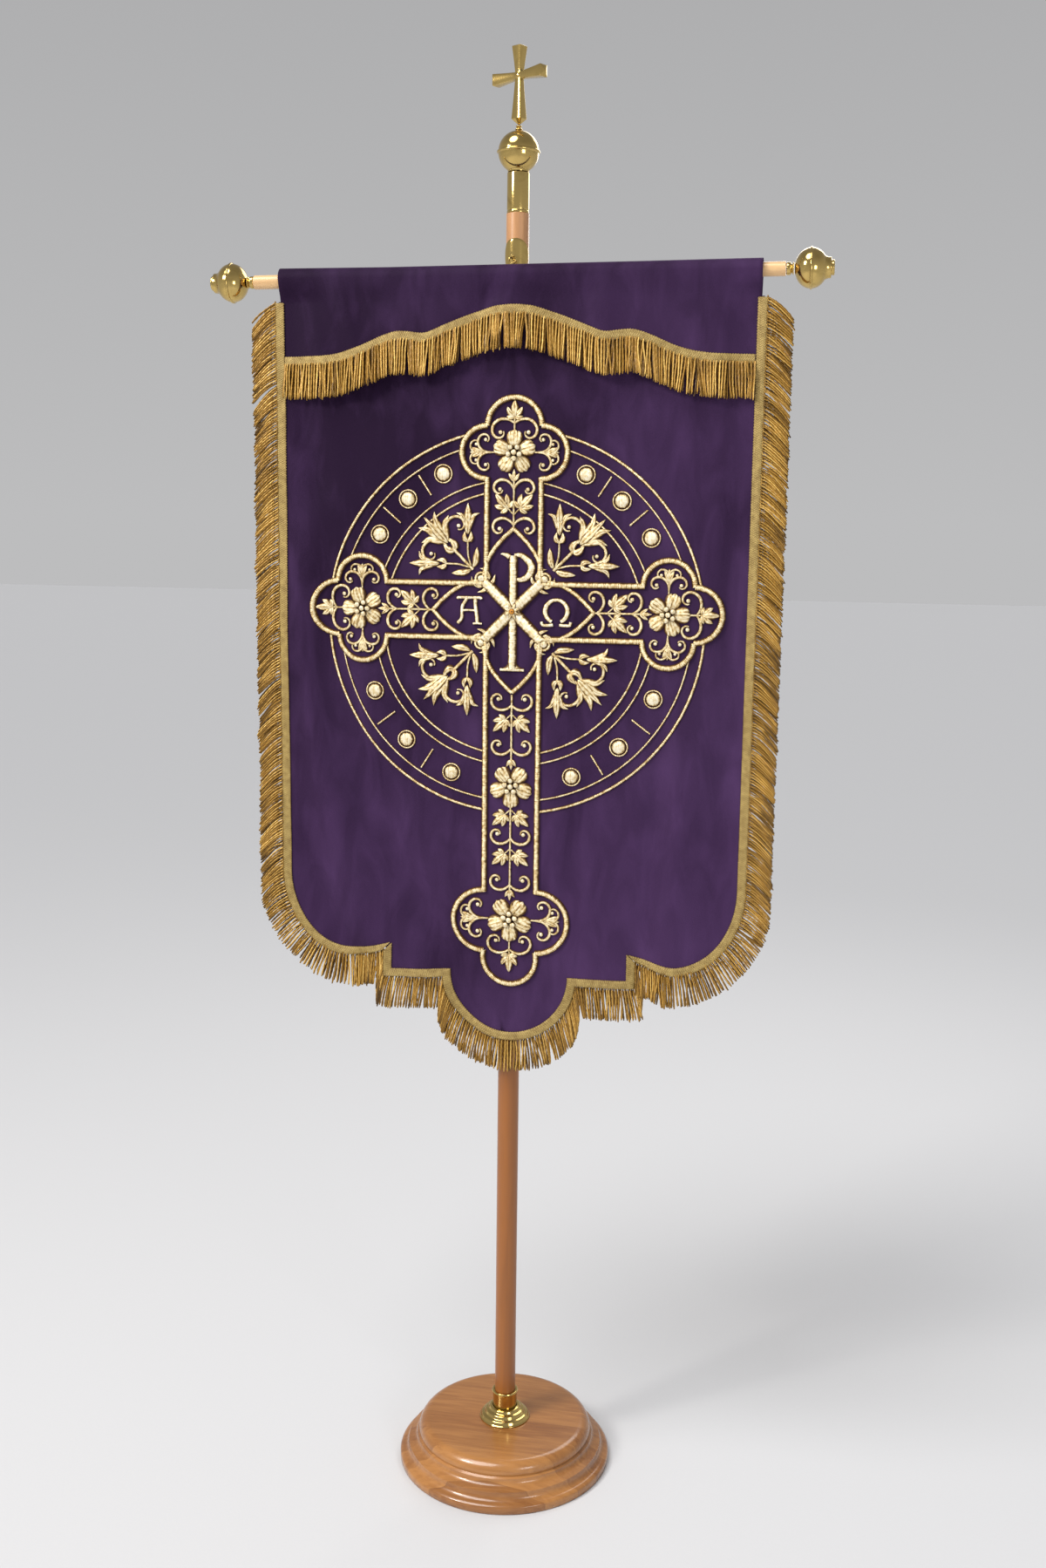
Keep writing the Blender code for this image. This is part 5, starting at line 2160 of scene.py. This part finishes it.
    def fill_long_arm(self, spot: Spot) -> None:
        """The vine, leaves and two flowers of the long arm."""
        self.stems.ribbon(spot(np.linspace(131, 246, 28)), 2.0, 2.2)
        self.scroll_pair(spot, 148, 138, 21)
        self.leaf_pair(spot, 163, 46, 38)
        self.scroll_pair(spot, 217, 211, 21)
        self.calyx(spot, 234, 17)
        self.flower(spot, 277, 36)
        self.stems.ribbon(spot(np.linspace(308, 462, 36)), 2.0, 2.2)
        self.leaf_pair(spot, 316, 48, 37)
        self.scroll_pair(spot, 362, 355, 21)
        self.leaf_pair(spot, 380, 48, 37)
        self.scroll_pair(spot, 438, 430, 21)
        self.calyx(spot, 446, 18)
        self.flower(spot, 495, 38)
        self.end_cluster(spot, 536, 548, 32)
        for turn in (90.0, -90.0):
            self.side_cluster(spot.at(495, turn), 1.16)

    def ring(self) -> None:
        """The ring's four lines outside the cross, its dots and the short bars between them."""
        for radius, half in self.ring_lines:
            turn = np.linspace(-0.5 * math.pi, 1.5 * math.pi, int(radius * 2.2))
            places = self.ring_middle + radius * np.exp(1j * turn)
            free = ~np.any([arm.covers(places, -1.0) for arm in self.arms], axis=0)
            edges = np.flatnonzero(np.diff(free.astype(int)))
            for first, last in zip([0, *(edges + 1)], [*edges, len(free) - 1]):
                if free[first] and last - first > 3:
                    self.outline.ribbon(places[first : last + 1], half, 1.9)
        angles = []
        for across, height in self.dots:
            angles.append(np.angle(across + 1j * height - self.ring_middle))
            for sign in (1, -1):
                centre = sign * across + 1j * height
                self.beads.bead(centre, 11.8, 3.6)
                self.outline.round(centre, 13.7, 1.5, 1.7)
        for first, second in ((0, 1), (1, 2), (3, 4), (4, 5)):
            turn = (angles[first] + angles[second]) / 2
            for spin in (turn, math.pi - turn):
                line = np.linspace(238, 274, 12) * np.exp(1j * spin)
                self.outline.ribbon(self.ring_middle + line, 1.7, 1.5)

    def lily(self, spot: Spot, length: float) -> None:
        """A closed lily on a short stem: calyx, body, two side petals that curl out, and a pointed middle."""
        place = Spot(spot.origin, spot.turn, spot.flip, length / 54.0)
        for sign in (1, -1):
            self.leaves.blade(place([0, 6 + 5j * sign, 16 + 4.5j * sign]), 4.8, 3.2, 0.3)
            self.leaves.blade(place([13, 27 + 3.4j * sign, 39 + 9j * sign, 43 + 18j * sign]), 4.9, 3.2, 0.4)
        self.leaves.blade(place([11, 26, 44]), 6.0, 3.4, 0.5, 0.1)
        self.leaves.blade(place([27, 40, 58]), 6.8, 3.8, 0.9)

    def spray(self, spot: Spot) -> None:
        """The spray between two arms: a middle palmette, two lilies and two curled leaves."""
        self.stems.ribbon(spot(np.linspace(90, 137, 14)), 3.0, 2.8)
        for sign in (1, -1):
            self.leaves.blade(spot([131, 138 + 6.5j * sign, 152 + 6j * sign]), 6.2, 3.8, 0.4)
            self.stems.ribbon(spot(curve([(97, 2), (112, 11), (127, 25)], 6, (1, sign))), 1.9, 2.2)
            self.lily(spot.at(126 + 24j * sign, 45.0 * sign), 56)
            self.leaves.blade(
                spot([92 + 2j * sign, 96 + 12j * sign, 104 + 22j * sign, 110 + 29j * sign]), 5.8, 3.2, 0.3
            )
            self.leaves.blade(spot([148, 166 + 5j * sign, 184 + 9j * sign, 197 + 18j * sign]), 7.2, 3.4, 0.4)
            self.leaves.blade(spot([148, 160 + 8j * sign, 172 + 18j * sign, 177 + 31j * sign]), 6.4, 3.2, 0.3)
            self.scroll(spot, 146 + 4j * sign, 154 + 31j * sign, 2.9, 3.4)
        self.leaves.blade(spot([147, 170, 202]), 8.4, 3.9, 0.8)

    def monogram(self) -> None:
        """The crossed letters in the middle, with one letter each side of them."""
        pen, spot = self.letters, Spot(turn=90.0)
        for turn in (45.0, 135.0, 225.0, 315.0):
            self.bar_end(Spot(turn=turn))
        pen.ribbon(spot(np.linspace(-90, 86, 60)), 7.2, 4.4, lift=0.2)
        pen.ribbon(spot([84 + 6j, 87 + 11j, 88.5 + 17j, 88 + 20j]), [5.5, 4.0, 2.4, 0.9], 3.0, lift=0.4)
        pen.ribbon(spot([-78, -82, -86, -89.5]), [6.3, 7.2, 10.5, 17.5], 3.0, lift=0.4)
        pen.ribbon(np.linspace(-19, 19, 20) - 91.5j, 2.8, 3.0, lift=0.5)
        bowl = curve([(2, 87), (14, 86), (26, 76), (29, 66), (24, 55), (13, 49), (4, 50)], 6)
        swell = np.sin(np.linspace(0.10, 0.92, len(bowl)) * math.pi) ** 1.6
        pen.ribbon(bowl, 2.4 + 4.6 * swell, 3.6, lift=0.3)
        for number in range(8):
            tip = 14.0 * np.exp(1j * math.pi * (number / 4 + 0.125))
            self.leaves.blade([0, tip / 2, tip], 3.1, 2.6, 5.6, 0.15)
        self.heart.bead(0j, 4.8, 3.4, 7.4)
        self.alpha(-69 + 0j)
        self.omega(69 - 2j)

    def bar_end(self, spot: Spot) -> None:
        """Half of a slanting bar, its ringed end and the two leaves that hold it."""
        self.letters.ribbon(spot(np.linspace(4, 64, 24)), np.linspace(9.8, 9.2, 24), 5.0, lift=0.9)
        for sign in (1, -1):
            self.leaves.blade(spot([56 + 2j * sign, 55 + 10j * sign, 60 + 20j * sign]), 3.6, 3.0, 1.2)
            self.leaves.blade(
                spot([62 + 2j * sign, 64 + 11j * sign, 76 + 14j * sign, 84 + 9j * sign]), 3.4, 3.0, 0.9
            )
        self.outline.round(complex(spot(71)), 8.8, 2.6, 2.8, 0.8)
        self.beads.bead(complex(spot(71)), 6.2, 3.6, 1.2)

    def alpha(self, centre: complex) -> None:
        """The first Greek letter, with a flat top bar and a curved left leg."""
        pen = self.letters
        for knots, half in (
            ([(-19, 18), (-17, 20), (0, 20), (17, 20), (19, 18)], 2.7),
            ([(-4, 19), (-11, 7), (-12, -4), (-13, -13), (-19, -20)], 3.2),
            ([(9, 19), (10, 5), (12, -10), (13, -20)], 3.6),
            ([(-11, 0), (0, 0.5), (10, 0)], 2.1),
            ([(6, -20.5), (13, -20), (20, -20.5)], 2.2),
        ):
            line = curve(knots, 6)
            pen.ribbon(centre + line, half, 2.6, lift=0.1)

    def omega(self, centre: complex) -> None:
        """The last Greek letter: an open ring on two feet."""
        turn = np.radians(np.linspace(-66, 246, 52))
        swell = 3.2 + 1.2 * np.abs(np.cos(turn)) ** 2
        self.letters.ribbon(centre + 3.5j + 17.5 * np.exp(1j * turn), swell, 3.0, lift=0.1)
        for sign in (1, -1):
            foot = curve([(5, -17.5), (12, -18.5), (21, -18), (23, -13)], 5, (sign, 1))
            self.letters.ribbon(centre + foot, 3.0, 2.8, lift=0.2)


# Studio


@dataclass
class Studio:
    """The pale floor, the soft lights and the camera."""

    eye: Point = (0.4733, -2.4578, 1.605)
    turn: float = math.radians(10.48)
    pitch: float = math.radians(9.65)
    roll: float = math.radians(0.7)
    focal: float = 36.02
    target: Point = (0.0, -0.03, 1.30)
    floor_size: float = 60.0
    low_sky: Colour = (0.82, 0.82, 0.83)
    high_sky: Colour = (0.48, 0.48, 0.49)
    sun: float = 1.95

    def place_camera(self) -> None:
        """Sets the camera before the banner, a little to its right, looking slightly down."""
        ahead, drop = math.cos(self.pitch), math.sin(self.pitch)
        forward = Vector((-math.sin(self.turn) * ahead, math.cos(self.turn) * ahead, -drop))
        level = Vector((math.cos(self.turn), math.sin(self.turn), 0.0))
        upright = level.cross(forward)
        right = level * math.cos(self.roll) + upright * math.sin(self.roll)
        up = upright * math.cos(self.roll) - level * math.sin(self.roll)
        data = bpy.data.cameras.new("camera")
        data.lens, data.sensor_width = self.focal, 36.0
        data.clip_start, data.clip_end = 0.05, 200.0
        camera = added("camera", data)
        facing = Matrix((right, up, -forward)).transposed().to_4x4()
        camera.matrix_world = Matrix.Translation(self.eye) @ facing
        bpy.context.scene.camera = camera

    def add_light(self, name: str, place: Point, size: float, power: float, colour: Colour) -> None:
        """A square soft light that faces the banner.

        Args:
            name: the light's name.
            place: where it stands.
            size: the side of the square.
            power: its power in watts.
            colour: its colour.
        """
        data = bpy.data.lights.new(name, "AREA")
        data.size, data.energy, data.color = size, power, colour
        light = added(name, data)
        light.location = place
        light.rotation_euler = (Vector(self.target) - Vector(place)).to_track_quat("-Z", "Y").to_euler()

    def build(self, paper: Finish) -> None:
        """Makes the floor, the lights, the sky and the camera."""
        self.place_camera()
        self.add_light("key", (-2.5, -2.3, 3.3), 0.8, 84.0, (1.0, 0.97, 0.93))
        self.add_light("fill", (2.4, -2.9, 1.7), 1.0, 24.0, (0.98, 0.98, 1.0))
        self.add_light("rim", (0.6, 2.4, 3.0), 1.6, 26.0, (1.0, 0.98, 0.95))
        data = bpy.data.lights.new("overhead", "SUN")
        data.energy, data.angle = self.sun, math.radians(34.0)
        overhead = added("overhead", data)
        overhead.rotation_euler = (math.radians(24.0), math.radians(-20.0), 0.0)
        shape = Shape()
        half, steps = self.floor_size / 2, 9
        spots = np.linspace(-half, half, steps)
        points = np.stack([*np.meshgrid(spots, spots), np.full((steps, steps), -0.0008)], -1)
        shape.add(points, grid_faces(steps, steps), None)
        floor = shape.piece("floor", turn_out=False)
        floor.data.materials.append(paper)
        world = bpy.data.worlds.new("studio")
        world.use_nodes = True
        nodes, links = world.node_tree.nodes, world.node_tree.links
        kinds = "ShaderNodeValToRGB", "ShaderNodeSeparateXYZ", "ShaderNodeTexCoord"
        ramp, parts, place = (nodes.new(kind) for kind in kinds)
        low, high = ramp.color_ramp.elements
        low.color, low.position = (*self.low_sky, 1.0), 0.0
        high.color, high.position = (*self.high_sky, 1.0), 0.75
        links.new(place.outputs["Generated"], parts.inputs[0])
        links.new(parts.outputs[2], ramp.inputs[0])
        links.new(ramp.outputs[0], nodes["Background"].inputs[0])
        nodes["Background"].inputs[1].default_value = 0.62
        bpy.context.scene.world = world
        bpy.context.scene.view_settings.view_transform = "Standard"


def main() -> None:
    """Builds the banner piece by piece in its studio."""
    logging.basicConfig(level=logging.INFO, format="%(message)s", stream=sys.stdout)
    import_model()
    brass, pole_wood = Brass().material(), TurnedBeech("turned_beech", (30.0, 30.0, 1.6)).material()
    velvet = Velvet().material()
    woven, bullion = WovenGold().material(), BullionGold().material()
    drape, hem = Drape(), Hem()
    Studio().build(PaleFloor().material())
    Stand(wood=GluedBoards().material(), pole_wood=pole_wood, brass=brass).build()
    Finial(brass=brass).build()
    Crossbar(
        wood=TurnedBeech("bar_beech", (1.6, 30.0, 30.0), high=(0.86, 0.56, 0.27)).material(), brass=brass
    ).build()
    cloth = Cloth(drape, hem, velvet)
    panel, valance = cloth.build_panel(), cloth.build_valance()
    cords = CordTree()
    made = {}
    for run in Trims(drape, hem, cloth, woven, bullion).runs():
        made[run.name] = [run.build_heading(), run.build_cords(cords)]
    embroidery = Embroidery(
        drape,
        dotted=GoldSatin(StitchKind.ACROSS, dots=0.0029).material(),
        across=GoldSatin(StitchKind.ACROSS, (1.00, 0.93, 0.72), (0.76, 0.56, 0.24)).material(),
        slanted=GoldSatin(StitchKind.SLANTED).material(),
        lengthwise=GoldSatin(StitchKind.LENGTHWISE, (1.00, 0.91, 0.64), (0.68, 0.455, 0.155)).material(),
        amber=GoldSatin(StitchKind.LENGTHWISE, (0.80, 0.36, 0.03), (0.55, 0.20, 0.015)).material(),
    ).build()
    valance_fringe = made.pop("fringe_valance")


if __name__ == "__main__":
    main()
